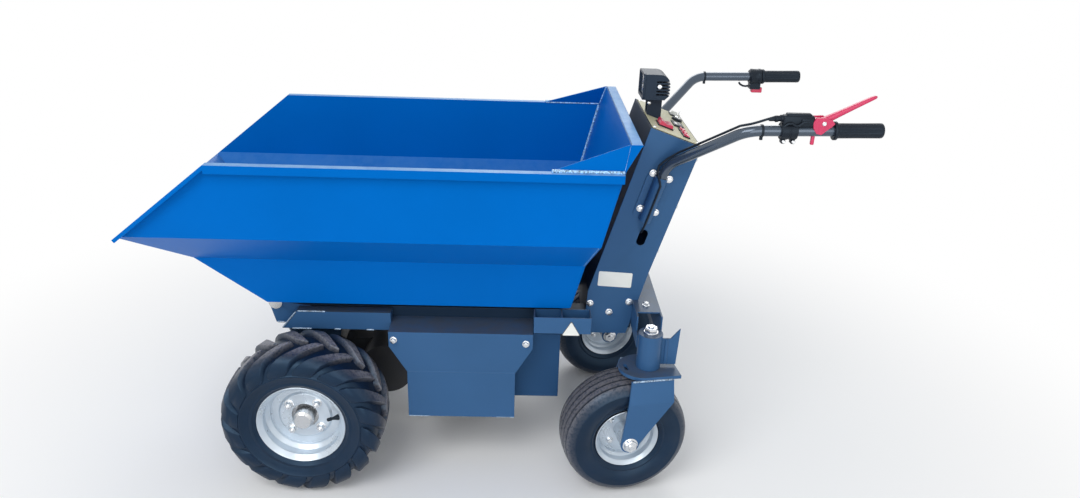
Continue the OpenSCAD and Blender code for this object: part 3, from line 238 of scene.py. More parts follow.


# Looks, one for each material slot of the record, and a few for the added pieces
# Tints colour the straight reflections: the bluish ones here and in the looks below are a painted reflection of a blue
# sky, which the white room does not give
BLUISH = (0.6, 0.8, 1)
LOOKS = {
    # The blue paint's pale blue on upward faces is a painted sheen of sky light, not dust
    "blue_paint": dict(colour=(0.0, 0.124, 0.475), rough=0.38, shade=0.05, patch=3, grain=700, bump=0.05,
                       specular=0.2, tint=(0.04, 0.30, 0.80), top_dust_and_sheen=((0.24, 0.45, 0.70), 0.75)),
    "frame_paint": dict(colour=(0.014, 0.030, 0.060), rough=0.42, specular=0.3, tint=(0.5, 0.75, 1),
                        top_dust_and_sheen=((0.06, 0.062, 0.068), 0.5)),
    "slate_paint": dict(colour=(0.034, 0.100, 0.226), rough=0.36, shade=0.07, patch=4, grain=900, bump=0.08,
                        coat=0.04, specular=0.35, tint=(0.45, 0.72, 1), top_dust_and_sheen=((0.075, 0.082, 0.095), 0.75)),
    # Darker copies of the slate paint: painted shade, for the column's front panel, the lamp bracket and the controller
    # box under the tray
    "shaded_slate": dict(colour=(0.020, 0.030, 0.048), rough=0.5, shade=0.08, patch=5, grain=900, specular=0.12),
    "shade_darkened_navy": dict(colour=(0.018, 0.062, 0.155), rough=0.38, shade=0.07, patch=4, grain=900, specular=0.3,
                       tint=(0.4, 0.7, 1)),
    # Weld finishes: a pale colour broken into dots by a strong tone change, painted glints of light on the beads
    "blue_weld_glint": dict(colour=(0.30, 0.52, 0.76), rough=0.18, shade=0.85, patch=260, grain=300, bump=0.4,
                      depth=0.001, coat=0.8),
    "slate_weld_glint": dict(colour=(0.24, 0.33, 0.44), rough=0.2, shade=0.8, patch=260, grain=300, bump=0.4,
                       depth=0.001, metal=0.3, coat=0.6),
    "bar_paint": dict(colour=(0.060, 0.085, 0.120), rough=0.17, patch=9, grain=900, bump=0.04, metal=0.5, coat=0.4),
    "bare_steel": dict(colour=(0.62, 0.63, 0.64), rough=0.26, patch=20, metal=1.0, grain=900),
    "silver_paint": dict(colour=(0.58, 0.65, 0.72), rough=0.30, shade=0.08, patch=14, metal=0.5, grain=600,
                         dust=0.04),
    "tyre": dict(colour=(0.006, 0.015, 0.035), rough=0.37, shade=0.15, patch=12, gloss_change=0.08, grain=350,
                 bump=0.25, depth=0.0005, specular=0.4, tint=(0.42, 0.70, 1), dust=0.03,
                 worn=(0.215, 0.205, 0.215)),
    "black_rubber": dict(colour=(0.010, 0.013, 0.019), rough=0.42, grain=800, bump=0.2, specular=0.3, tint=BLUISH),
    "black_plastic": dict(colour=(0.009, 0.011, 0.016), rough=0.40, grain=1200, bump=0.15, specular=0.3,
                          tint=BLUISH),
    "black_casting": dict(colour=(0.012, 0.013, 0.016), rough=0.45, grain=250, bump=0.3, dust=0.03),
    "lamp_alloy": dict(colour=(0.013, 0.020, 0.035), rough=0.42, grain=900, specular=0.3, tint=BLUISH),
    "panel_beige": dict(colour=(0.56, 0.54, 0.36), rough=0.45, patch=20),
    "switch_red": dict(colour=(0.60, 0.03, 0.09), rough=0.3, coat=0.3),
    "lever_red": dict(colour=(0.58, 0.022, 0.10), rough=0.35, coat=0.2),
    "zinc": dict(colour=(0.72, 0.74, 0.76), rough=0.25, patch=60, metal=1.0, grain=1500),
    "plate_white": dict(colour=(0.80, 0.81, 0.77), rough=0.4, shade=0.03),
    "plate_grey": dict(colour=(0.10, 0.11, 0.12), rough=0.5),
    "display_dark": dict(colour=(0.010, 0.014, 0.018), rough=0.12, coat=0.6),
}
FINISH = {name: make_finish(name, **look) for name, look in LOOKS.items()}


def make_lens_finish():
    material = bpy.data.materials.new("lamp_glass")
    material.use_nodes = True
    tree = material.node_tree
    shader = tree.nodes["Principled BSDF"]
    surface = place_group(tree, SURFACE, {
        "Colour": (0.75, 0.78, 0.80, 1), "Shade": 0.03, "Patch": 30, "Roughness": 0.12})
    tree.links.new(surface["Colour"], shader.inputs["Base Color"])
    tree.links.new(surface["Roughness"], shader.inputs["Roughness"])
    shader.inputs["Coat Weight"].default_value = 1.0
    return material


FINISH["lamp_glass"] = make_lens_finish()

# Nodes painted apart from the rest of their slot; the controller box, the column's front panel and the lamp bracket get
# darker slates, painted shade
OWN_FINISH = {"controller_box": "shade_darkened_navy", "pivot_brackets": "slate_paint", "column_front_panel": "shaded_slate",
              "lamp_bracket": "shaded_slate"}
SOFT_EDGE = 0.8 * MM
EDGE_ANGLE = math.radians(35)


def dress_frame():
    """Give each node its finish, and its sharp edges a small radius."""
    for name, node in frame["nodes"].items():
        node.data.materials.clear()
        node.data.materials.append(FINISH[OWN_FINISH.get(name, node_slot[name])])
        weld = node.modifiers.new("weld", "WELD")
        weld.merge_threshold = 1e-5
        bevel = node.modifiers.new("soft_edges", "BEVEL")
        bevel.width, bevel.segments, bevel.limit_method, bevel.angle_limit = SOFT_EDGE, 2, "ANGLE", EDGE_ANGLE
        bevel.use_clamp_overlap = True
        node.modifiers.new("even_normals", "WEIGHTED_NORMAL").keep_sharp = True


dress_frame()


# Modelling helpers

def scaled(rows):
    """Rows of millimetre values, in metres."""
    return [tuple(value * MM for value in row) for row in rows]


def finish_piece(name, bm, body, finish, smooth=40):
    bmesh.ops.remove_doubles(bm, verts=bm.verts, dist=1e-6)
    bmesh.ops.recalc_face_normals(bm, faces=bm.faces)
    mesh = bpy.data.meshes.new(name)
    bm.to_mesh(mesh)
    bm.free()
    mesh.polygons.foreach_set("use_smooth", [True] * len(mesh.polygons))
    mesh.set_sharp_from_angle(angle=math.radians(smooth))
    mesh.materials.append(FINISH[finish])
    piece = bpy.data.objects.new(name, mesh)
    show(piece)
    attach(piece, body)
    return piece


def frame_on(place, axis):
    """Matrix that puts a shape's z along axis at a place."""
    return Matrix.Translation(place) @ Vector(axis).to_track_quat("Z", "Y").to_matrix().to_4x4()


def add_turned(bm, outline, matrix, steps=32):
    """Spin an outline of (radius, height) points about z."""
    verts = [bm.verts.new(matrix @ Vector((r, 0, h))) for r, h in outline]
    edges = [bm.edges.new(pair) for pair in zip(verts, verts[1:])]
    axis = matrix.to_3x3() @ Z
    return bmesh.ops.spin(bm, geom=verts + edges, cent=matrix.translation, axis=axis, angle=math.tau,
                          steps=steps, use_merge=True)


def add_bolt(bm, place, axis, across=13 * MM, height=7 * MM, washer=11 * MM):
    """Hexagon head with a chamfered top on a round washer."""
    at = frame_on(place, axis)
    washer_t = 1.6 * MM
    add_turned(bm, [(0, 0), (washer, 0), (washer, washer_t * 0.7), (washer * 0.95, washer_t), (0, washer_t)], at, 24)
    corner = across / math.sqrt(3)
    head = bmesh.ops.create_cone(bm, cap_ends=True, segments=6, radius1=corner, radius2=corner, depth=height,
                                 matrix=at @ Matrix.Translation((0, 0, washer_t + height / 2)))
    top = at.to_3x3() @ Z
    edges = [e for e in {e for v in head["verts"] for e in v.link_edges}
             if all((v.co - at.translation).dot(top) > height for v in e.verts)]
    bmesh.ops.bevel(bm, geom=edges, offset=height * 0.18, segments=2, profile=0.5, affect="EDGES", material=-1)


def add_box(bm, low, high, edge=0.0, segments=2, matrix=Matrix()):
    low, high = Vector(low), Vector(high)
    made = bmesh.ops.create_cube(bm, size=1, matrix=matrix @ Matrix.Translation((low + high) / 2)
                                 @ Matrix.Diagonal((*(high - low), 1)))
    if edge:
        edges = list({e for v in made["verts"] for e in v.link_edges})
        bmesh.ops.bevel(bm, geom=edges, offset=edge, segments=segments, profile=0.5, affect="EDGES", material=-1)


def add_ring(bm, points):
    verts = [bm.verts.new(p) for p in points]
    return [bm.edges.new((verts[i], verts[(i + 1) % len(verts)])) for i in range(len(verts))]


def add_loft(bm, rings):
    """Closed skin through rings of points, capped at both ends, made apart and then joined on."""
    apart = bmesh.new()
    loops = [add_ring(apart, ring) for ring in rings]
    for first, second in zip(loops, loops[1:]):
        bmesh.ops.bridge_loops(apart, edges=first + second)
    for loop in (loops[0], loops[-1]):
        bmesh.ops.contextual_create(apart, geom=loop)
    mesh = bpy.data.meshes.new("loft")
    apart.to_mesh(mesh)
    apart.free()
    bm.from_mesh(mesh)
    bpy.data.meshes.remove(mesh)


def tube_rings(points, radius, corners=10):
    """Rings square to a route, for add_loft. radius may be one value or one per point."""
    radii = radius if isinstance(radius, list) else [radius] * len(points)
    rings = []
    for i, point in enumerate(points):
        along = (points[min(i + 1, len(points) - 1)] - points[max(i - 1, 0)]).normalized()
        side = along.cross(Vector((0.3, 1, 0.2))).normalized()
        up = along.cross(side)
        rings.append([point + radii[i] * (math.cos(a) * side + math.sin(a) * up)
                      for a in (math.tau * k / corners for k in range(corners))])
    return rings


# Bolts and nuts

COLUMN_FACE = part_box("column_sides")[1].y
GUARD_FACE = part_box("battery_guards")[1].y
CLAMP_PLATE = COLUMN_FACE + 3 * MM
COLUMN_BOLTS = [(-0.250, 0.464), (-0.302, 0.439), (-0.353, 0.470)]
CLAMP_BOLTS = [(-0.386, 0.828), (-0.427, 0.813), (-0.361, 0.735), (-0.400, 0.725)]
GUARD_BOLTS = [(0.258, 0.387), (-0.083, 0.383)]
BEAM_BOLT_X, BEAM_BOLT_Y = -0.394, 0.186
COLUMN_REAR_BOLTS, COLUMN_REAR_BOLT_Y = (0.860, 0.735, 0.612), 0.141
BOLT_WASHER = 9.5 * MM
BEAM_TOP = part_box("rear_beam")[1].z
COLUMN_TOP_REAR, COLUMN_KINK = Vector((-0.500, 0, 0.895)), Vector((-0.399, 0, 0.557))
COLUMN_BACK = (COLUMN_TOP_REAR - COLUMN_KINK).cross(Y).normalized()


def column_rear(z):
    """Where the column's rear face lies at a height."""
    return COLUMN_TOP_REAR.lerp(COLUMN_KINK, (COLUMN_TOP_REAR.z - z) / (COLUMN_TOP_REAR.z - COLUMN_KINK.z)).x


def make_chassis_bolts():
    bm = bmesh.new()
    for face, places in ((COLUMN_FACE, COLUMN_BOLTS), (CLAMP_PLATE, CLAMP_BOLTS), (GUARD_FACE, GUARD_BOLTS)):
        for x, z in places:
            for side in SIDES:
                add_bolt(bm, Vector((x, side * face, z)), side * Y, washer=BOLT_WASHER)
    for side in SIDES:
        add_bolt(bm, Vector((BEAM_BOLT_X, side * BEAM_BOLT_Y, BEAM_TOP)), Z, washer=BOLT_WASHER)
        for z in COLUMN_REAR_BOLTS:
            add_bolt(bm, Vector((column_rear(z), side * COLUMN_REAR_BOLT_Y, z)), COLUMN_BACK,
                     across=8 * MM, height=5 * MM, washer=6.5 * MM)
    finish_piece("chassis_bolts", bm, "chassis", "zinc")


make_chassis_bolts()

# Drive tyres: a round carcass with swept lugs on each half

LUGS = 16
LUG_PITCH = math.tau / LUGS
LUG_MIDDLE = math.radians(7.5)
CARCASS = [(104, 59), (113, 68.5), (118, 72), (121, 75.2), (125, 75.6), (128, 74.8), (136, 78.2), (146, 80.4),
           (148.5, 82.4), (151.5, 82.2), (154, 80), (160, 78.4), (168, 75.2), (176, 70.5), (183, 63), (187, 53),
           (189, 41), (190, 27), (190, 12)]
# Along a lug from the crown to the sidewall: top and foot as (radius, across), sweep and half width in degrees
LUG_ROWS = [((202, 1), (187, 1), -6.4, 2.2), ((205, 3), (187, 3), -5.6, 3.0), ((205, 10), (187, 10), -3.2, 3.6),
            ((205, 20), (187, 20), -0.4, 4.0), ((205, 32), (186.5, 32), 2.8, 4.3), ((204.2, 46), (185.5, 45), 6.4, 4.8),
            ((202, 59), (183, 54), 10.2, 5.6), ((197.5, 70), (178, 61), 13.8, 6.5), ((190, 77.6), (172, 67), 17.0, 7.3),
            ((180, 82), (166, 71), 19.6, 8.0), ((170, 83.6), (160, 74), 21.6, 8.4), ((161, 83.6), (155, 76), 23.0, 8.4),
            ((154, 82.6), (151, 77), 23.8, 7.6)]
LUG_WEAR = (0.8, 1, 1, 1, 0.95, 0.7, 0.28, 0.08, 0.03, 0, 0, 0, 0)
CORNER_WEAR = (0.1, 0.6, 1, 1, 0.6, 0.1)
LUG_CHAMFER = 0.12
TYRE_STEPS, CASTER_STEPS = 128, 96
TYRE_SMOOTH = 32
LUG_EDGE = math.radians(0.8)
LUG_FOOT = math.radians(1.3)


def add_lug(bm, worn, centre, side, phase):
    rings = []
    for (top_r, top_y), (foot_r, foot_y), sweep, half in LUG_ROWS:
        middle, half = phase - math.radians(sweep), math.radians(half)
        mid_r, mid_y = top_r - LUG_CHAMFER * (top_r - foot_r), top_y - LUG_CHAMFER * (top_y - foot_y)
        section = [(middle - half - LUG_FOOT, foot_r, foot_y), (middle - half, mid_r, mid_y),
                   (middle - half + LUG_EDGE, top_r, top_y), (middle + half - LUG_EDGE, top_r, top_y),
                   (middle + half, mid_r, mid_y), (middle + half + LUG_FOOT, foot_r, foot_y)]
        rings.append([centre + MM * Vector((r * math.sin(a), side * y, -r * math.cos(a))) for a, r, y in section])
    before = len(bm.verts)
    add_loft(bm, rings)
    bm.verts.ensure_lookup_table()
    for place in range(before, len(bm.verts)):
        row, corner = divmod(place - before, len(CORNER_WEAR))
        bm.verts[place][worn] = CORNER_WEAR[corner] * LUG_WEAR[row]


def make_drive_tyre(side, name):
    centre = Vector(joints[f"wheel_{name}_spin"]["pos_m"])
    bm = bmesh.new()
    worn = bm.verts.layers.float.new("worn")
    half = [(r * MM, y * MM) for r, y in CARCASS]
    outline = half + [(r, -y) for r, y in reversed(half)]
    add_turned(bm, outline + outline[:1], frame_on(centre, Y), TYRE_STEPS)
    for across, offset in ((side, 0), (-side, 0.5)):
        for k in range(LUGS):
            add_lug(bm, worn, centre, across, (k + offset) * LUG_PITCH + LUG_MIDDLE)
    tyre = finish_piece(f"lugged_tyre_{name}", bm, f"wheel_{name}", "tyre", smooth=TYRE_SMOOTH)
    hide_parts(f"tyre_{name}")


# Caster tyres with ribs round the tread: radius, across and wear
CASTER_HALF = [(78, 38, 0), (88.5, 47.6, 0), (92, 51, 0), (95, 54, 0), (97, 54, 0), (99, 53.4, 0), (108, 58.2, 0),
               (118, 61.2, 0), (128, 62.4, 0), (137, 61, 0), (139, 61.4, 0), (142, 59.6, 0.1), (151, 54.6, 0.2),
               (157, 48.4, 0.5), (160, 43, 0.6), (155, 41.4, 0), (155, 37, 0), (161.6, 35.4, 0.6), (163.4, 28, 0.7),
               (163.6, 24, 0.7), (158, 22.4, 0), (158, 17.6, 0), (164.2, 16, 0.7), (165, 10, 0.7), (165, 4.4, 0.7),
               (159, 2.8, 0)]


def make_caster_tyre(name):
    joint = joints[f"caster_{name}_roll"]
    bm = bmesh.new()
    worn = bm.verts.layers.float.new("worn")
    half = [(r * MM, y * MM) for r, y, _ in CASTER_HALF]
    outline = half + [(r, -y) for r, y in reversed(half)]
    wear = [w for _, _, w in CASTER_HALF]
    wear += wear[::-1]
    add_turned(bm, outline + outline[:1], frame_on(Vector(joint["pos_m"]), joint["axis"]), CASTER_STEPS)
    bm.verts.ensure_lookup_table()
    for place, vert in enumerate(bm.verts):
        vert[worn] = (wear + wear[:1])[place % (len(outline) + 1)]
    tyre = finish_piece(f"ribbed_tyre_{name}", bm, f"caster_wheel_{name}", "tyre", smooth=TYRE_SMOOTH)
    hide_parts(f"caster_tyre_{name}")


# Nuts, studs and valves of the wheels

def add_nut(bm, at, radius, low, high, first=0.0):
    """Chamfered hexagon along z of a frame, between two heights, with its first corner at an angle."""
    rise = high - low
    rings = []
    for share, height in ((0.93, 0), (1, 0.12), (1, 0.82), (0.9, 1)):
        turns = [first + k * math.tau / 6 for k in range(6)]
        rings.append([at @ Vector((share * radius * math.cos(turn), share * radius * math.sin(turn),
                                   low + rise * height)) for turn in turns])
    add_loft(bm, rings)


def add_stud(bm, at, radius, low, high):
    add_turned(bm, [(0, low), (radius, low), (radius, high - radius * 0.3), (radius * 0.72, high), (0, high)], at, 20)


WHEEL_NUT_CIRCLE = 50.8 * MM
WHEEL_NUT_TURN = 41
DISC_FACE = 25 * MM
WHEEL_WASHER = [(0, 0), (12.5, 0), (12.5, 1.2), (11.5, 2), (0, 2)]
# A valve's two ends from the wheel's centre, and its radius at shares of the way between them
VALVE_FOOT, VALVE_TIP = (-87, 33, 2), (-62, 50, 4)
VALVE_ROWS = [(0, 7.5), (0.1, 7.4), (0.3, 5.4), (0.42, 4.4), (0.6, 3.6), (0.62, 4.6), (0.94, 4.6), (1, 3.6)]


def make_wheel_fittings(side, name):
    centre = Vector(joints[f"wheel_{name}_spin"]["pos_m"])
    bm = bmesh.new()
    for k in range(4):
        turn = math.radians(WHEEL_NUT_TURN + 90 * k)
        spot = centre + side * DISC_FACE * Y + WHEEL_NUT_CIRCLE * Vector((math.cos(turn), 0, math.sin(turn)))
        at = frame_on(spot, side * Y)
        add_turned(bm, scaled(WHEEL_WASHER), at, 24)
        add_nut(bm, at, 10 * MM, 2 * MM, 13 * MM)
        add_stud(bm, at, 5 * MM, 10 * MM, 19 * MM)
    finish_piece(f"wheel_nuts_{name}", bm, f"wheel_{name}", "zinc")
    bm = bmesh.new()
    foot, tip = (centre + Vector((x * MM, side * y * MM, z * MM)) for x, y, z in (VALVE_FOOT, VALVE_TIP))
    route = [foot.lerp(tip, share) for share, _ in VALVE_ROWS]
    add_loft(bm, tube_rings(route, [radius * MM for _, radius in VALVE_ROWS], 14))
    finish_piece(f"wheel_valve_{name}", bm, f"wheel_{name}", "black_rubber")


CASTER_TURN = math.radians(10)
FORK_OUT = 74.5 * MM
HOUSING_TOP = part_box("swivel_housings")[0].z + 95 * MM
SWIVEL_WASHER = [(0, 0.3), (18.6, 0.3), (18.6, 4), (17.6, 4.9), (0, 4.9)]
AXLE_WASHER = [(0, 0), (20, 0), (20, 1.6), (19, 2.2), (0, 2.2)]
RIM_BOLT_CIRCLE, RIM_BOLT_FACE = 46 * MM, 3 * MM
LOCK_FOLD_BACK = 42 * MM
LOCK_FOLD = [(0, 361), (4.6, 361), (5.6, 362), (5.6, 429), (4.6, 430), (0, 430)]


def make_caster_fittings(name):
    joint = joints[f"caster_{name}_roll"]
    wheel, axis = Vector(joint["pos_m"]), Vector(joint["axis"])
    swivel = Vector(joints[f"caster_{name}_swivel"]["pos_m"])
    bm = bmesh.new()
    top = Matrix.Translation((swivel.x, swivel.y, HOUSING_TOP)) @ Matrix.Rotation(CASTER_TURN, 4, "Z")
    add_turned(bm, scaled(SWIVEL_WASHER), top)
    add_nut(bm, top, 16.6 * MM, 4.7 * MM, 16 * MM)
    add_stud(bm, top, 8.4 * MM, 14 * MM, 18.6 * MM)
    for out in SIDES:
        at = (Matrix.Translation(wheel) @ Matrix.Rotation(CASTER_TURN, 4, "Z")
              @ Matrix.Rotation(-out * math.pi / 2, 4, "X"))
        add_turned(bm, [(r, FORK_OUT + h) for r, h in scaled(AXLE_WASHER)], at)
        add_nut(bm, at, 17.4 * MM, FORK_OUT + 2 * MM, FORK_OUT + 11 * MM, math.pi / 6)
        add_stud(bm, at, 8 * MM, FORK_OUT + 9 * MM, FORK_OUT + 14 * MM)
    finish_piece(f"caster_nuts_{name}", bm, f"caster_{name}", "zinc")
    bm = bmesh.new()
    for out in SIDES:
        for k in range(4):
            turn = math.tau * (k + 0.5) / 4
            around = math.cos(turn) * axis.cross(Z) + math.sin(turn) * Z
            add_bolt(bm, wheel + RIM_BOLT_CIRCLE * around + out * RIM_BOLT_FACE * axis, out * axis,
                     across=12 * MM, height=7 * MM, washer=9 * MM)
    finish_piece(f"caster_rim_bolts_{name}", bm, f"caster_wheel_{name}", "zinc")
    bm = bmesh.new()
    knuckle = Matrix.Translation((swivel.x - LOCK_FOLD_BACK, swivel.y, 0))
    add_turned(bm, scaled(LOCK_FOLD), knuckle, 24)
    finish_piece(f"caster_lock_fold_{name}", bm, "chassis", "slate_paint")


for side, name in NAMED_SIDES:
    make_drive_tyre(side, name)
    make_caster_tyre(name)
    make_wheel_fittings(side, name)
    make_caster_fittings(name)


# Weld beads: short ripples laid along the joints, in pale dotted finishes that paint glints of light on them

def add_weld(bm, points, radius=2.6 * MM, step=3.2 * MM):
    for start, end in zip(points, points[1:]):
        count = max(2, round((end - start).length / step))
        route = [start.lerp(end, i / (2 * count)) for i in range(2 * count + 1)]
        radii = [radius * (1.0 if i % 2 else 0.78) for i in range(2 * count + 1)]
        radii[0] = radii[-1] = radius * 0.4
        add_loft(bm, tube_rings(route, radii, 8))


REAR_FOOT_X, REAR_FOOT_Z, REAR_LEAN, REAR_RISE = -196, 473, 113, 467


def rear_wall_x(z):
    """Where the rear wall's outer face lies at a height in mm."""
    return (REAR_FOOT_X - REAR_LEAN * (z - REAR_FOOT_Z) / REAR_RISE) * MM


REAR_WALL_LOW, REAR_WALL_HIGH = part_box("skip_rear_wall")
FOLD_HALF = 307.6 * MM
FOLD_SHEET = 3 * MM
FOLD_FRONT = -306 * MM


def make_rear_fold():
    """Folded top edge of the rear wall, between its end plates, with a rolled rear edge."""
    bm = bmesh.new()
    back, top = REAR_WALL_LOW.x, REAR_WALL_HIGH.z
    add_box(bm, (back + FOLD_SHEET / 2, -FOLD_HALF, top - FOLD_SHEET), (FOLD_FRONT, FOLD_HALF, top), SOFT_EDGE)
    edge = [Vector((back + FOLD_SHEET, y, top - FOLD_SHEET)) for y in (-FOLD_HALF, 0, FOLD_HALF)]
    add_loft(bm, tube_rings(edge, FOLD_SHEET, 16))
    finish_piece("skip_rear_fold", bm, "skip", "blue_paint")


# Beads on the rear wall as (y, z), and straight ones as two x, y, z and radius, all in mm
CORNER_WELD, CORNER_WELD_IN, CORNER_WELD_R = [(203.5, 478), (218.5, 600), (333.5, 700), (333.5, 879)], 5.5, 4.2
GUSSET_WELD, GUSSET_WELD_IN = [(335, 884), (308, 938)], 4
SKIP_WELDS = [(-293, -128, 341.3, 884, 4.6), (-190, 578, 206, 476.5, 2.2), (-290, -130, 335.6, 882, 2.2)]
RAIL_WELDS = [(316, 336, 190.4, 388, 2.6), (402, 420, 190.4, 388, 2.6), (478, 530, 190.4, 388, 2.6),
              (440, 512, 189, 438.4, 2.6), (556, 576, 158.6, 389, 2.6)]
RAIL_END_WELD = [(554, 190, 389), (515.5, 190, 437)]
GUARD_WELDS, GUARD_WELD_Z, GUARD_WELD_R = [(225, 172), (-8, -56)], 155.4, 1.4
GUARD_FOLD, GUARD_FOLD_Z = (225, 84, -56), 294
FORK_WELD, FORK_WELD_Y, FORK_WELD_Z = (-50, 56), 58.6, 342.5
BEAD_SMOOTH = 70


def add_straight_welds(bm, rows, side):
    for start, end, y, z, radius in rows:
        add_weld(bm, [Vector((x * MM, side * y * MM, z * MM)) for x in (start, end)], radius * MM)


def make_skip_welds():
    bm = bmesh.new()
    for side in SIDES:
        add_weld(bm, [Vector((rear_wall_x(z) + CORNER_WELD_IN * MM, side * y * MM, z * MM)) for y, z in CORNER_WELD],
                 CORNER_WELD_R * MM)
        add_weld(bm, [Vector((rear_wall_x(z) + GUSSET_WELD_IN * MM, side * y * MM, z * MM)) for y, z in GUSSET_WELD])
        add_straight_welds(bm, SKIP_WELDS, side)
    finish_piece("skip_weld_beads", bm, "skip", "blue_weld_glint", smooth=BEAD_SMOOTH)


def make_frame_welds():
    bm = bmesh.new()
    for side in SIDES:
        add_straight_welds(bm, RAIL_WELDS, side)
        add_weld(bm, [Vector((x * MM, side * y * MM, z * MM)) for x, y, z in RAIL_END_WELD])
        for ends in GUARD_WELDS:
            add_weld(bm, [Vector((x * MM, side * (GUARD_FACE - 0.5 * MM), GUARD_WELD_Z * MM)) for x in ends],
                     GUARD_WELD_R * MM)
    finish_piece("frame_weld_beads", bm, "chassis", "slate_weld_glint", smooth=BEAD_SMOOTH)
    bm = bmesh.new()
    for side in SIDES:
        fold = [Vector((x * MM, side * (GUARD_FACE - 1.2 * MM), GUARD_FOLD_Z * MM)) for x in GUARD_FOLD]
        add_loft(bm, tube_rings(fold, 1.8 * MM, 12))
    finish_piece("guard_fold_lines", bm, "chassis", "slate_paint", smooth=BEAD_SMOOTH)
    for _, name in NAMED_SIDES:
        swivel = Vector(joints[f"caster_{name}_swivel"]["pos_m"])
        at = Matrix.Translation((swivel.x, swivel.y, 0)) @ Matrix.Rotation(CASTER_TURN, 4, "Z")
        bm = bmesh.new()
        for out in SIDES:
            add_weld(bm, [at @ Vector((x * MM, out * FORK_WELD_Y * MM, FORK_WELD_Z * MM)) for x in FORK_WELD], 3 * MM)
        finish_piece(f"fork_weld_beads_{name}", bm, f"caster_{name}", "slate_weld_glint", smooth=BEAD_SMOOTH)


make_rear_fold()
make_skip_welds()
make_frame_welds()


# Blank plates on the column and the tray

def rounded_outline(corners, radius, steps=6):
    """Corner points of a flat outline, each rounded."""
    points = []
    for i, corner in enumerate(corners):
        before, after = corners[i - 1], corners[(i + 1) % len(corners)]
        back, ahead = (before - corner).normalized(), (after - corner).normalized()
        reach = radius / math.tan(back.angle(ahead) / 2)
        start, end = corner + reach * back, corner + reach * ahead
        for k in range(steps + 1):
            t = k / steps
            points.append((1 - t) ** 2 * start + 2 * t * (1 - t) * corner + t ** 2 * end)
    return points


def add_plate(bm, outline, at, thickness):
    """Flat plate with a small edge, its outline in the frame's own x and y."""
    middle = sum(outline, Vector()) / len(outline)
    rings = [[at @ (p + height * Z) for p in outline] for height in (0, thickness * 0.6)]
    rings.append([at @ (middle + (p - middle) * 0.985 + thickness * Z) for p in outline])
    add_loft(bm, rings)


def rectangle(width, height):
    return [Vector((x * width / 2, y * height / 2, 0)) for x, y in ((-1, -1), (1, -1), (1, 1), (-1, 1))]


def side_frame(place):
    """Frame on the left side: x to the rear, y up, z outwards."""
    return Matrix.Translation(place) @ Matrix((-X, Z, Y)).transposed().to_4x4()


LABEL_TURN = -0.05
# Border and face of the tray's plate: reach of its corners, thickness and finish
TRAY_PLATE = (("border", 29 * MM, 0.7 * MM, "plate_grey"), ("face", 26 * MM, 1.1 * MM, "plate_white"))


def make_blank_plates():
    bm = bmesh.new()
    label = side_frame(Vector((-0.312, COLUMN_FACE, 0.534))) @ Matrix.Rotation(LABEL_TURN, 4, "Z")
    add_plate(bm, rounded_outline(rectangle(88 * MM, 42 * MM), 4 * MM), label, 0.8 * MM)
    finish_piece("blank_column_label", bm, "chassis", "plate_white")
    sign = side_frame(Vector((-0.198, GUARD_FACE, 0.424)))
    for name, reach, thickness, finish in TRAY_PLATE:
        bm = bmesh.new()
        corners = [reach * Vector((math.sin(a), math.cos(a), 0)) for a in (0, -math.tau / 3, math.tau / 3)]
        add_plate(bm, rounded_outline(corners, 3 * MM), sign, thickness)
        finish_piece(f"blank_tray_sign_{name}", bm, "chassis", finish)


make_blank_plates()


# Console switches, display, key and dial
CONSOLE_SLOPE = math.atan2(46, 128)
CONSOLE = Matrix.Translation((-0.372, 0, 0.941)) @ Matrix((
    (-math.cos(CONSOLE_SLOPE), 0, -math.sin(CONSOLE_SLOPE)), (0, -1, 0),
    (-math.sin(CONSOLE_SLOPE), 0, math.cos(CONSOLE_SLOPE)))).transposed().to_4x4()
PANEL_TOP = 2 * MM
# Places on the panel in mm: down its slope, and to the left of its middle
LARGE_ROCKER, SMALL_ROCKERS = (47, 80), ((100, 58), (100, 86), (100, 114))
DISPLAY, KEY, DIAL = (97, 5), (107, -60), (107, -115)
PANEL_SCREWS = ((11, 140), (11, -140), (127, 140), (127, -140))
# Turned outlines in mm: radius and height
KEY_COLLAR = [(0, 0), (15, 0), (15, 4), (13, 6), (9, 6), (9, 4.5), (0, 4.5)]
KEY_BARREL = [(0, 4), (8.4, 4), (8.4, 9), (7, 10), (0, 10)]
PANEL_SCREW = [(0, 0), (4, 0), (3.6, 1.4), (2, 2.2), (0, 2.4)]
DIAL_KNOB = [(0, 3), (10, 3), (9.4, 7), (8.4, 8), (0, 8)]


def on_panel(down, across):
    """Frame on the panel, a distance down its slope and a distance to the left of its middle, in mm."""
    return CONSOLE @ Matrix.Translation((down * MM, -across * MM, PANEL_TOP))


def add_rocker(cap, bezel, at, length, width, height):
    half, rim = Vector((length / 2, width / 2, 0)), Vector((3 * MM, 3 * MM, 0))
    add_box(bezel, -half - rim, half + rim + 3 * MM * Z, 1 * MM, 2, at)
    rings = []
    for along, rise in ((-0.5, 0.62), (-0.46, 0.9), (-0.38, 1.0), (0, 0.62), (0.38, 0.8), (0.46, 0.72), (0.5, 0.5)):
        rings.append([at @ Vector((along * length, y * width / 2, z)) for y, z in (
            (-1, 2 * MM), (-1, rise * height - 1 * MM), (-0.95, rise * height), (0.95, rise * height),
            (1, rise * height - 1 * MM), (1, 2 * MM))])
    add_loft(cap, rings)


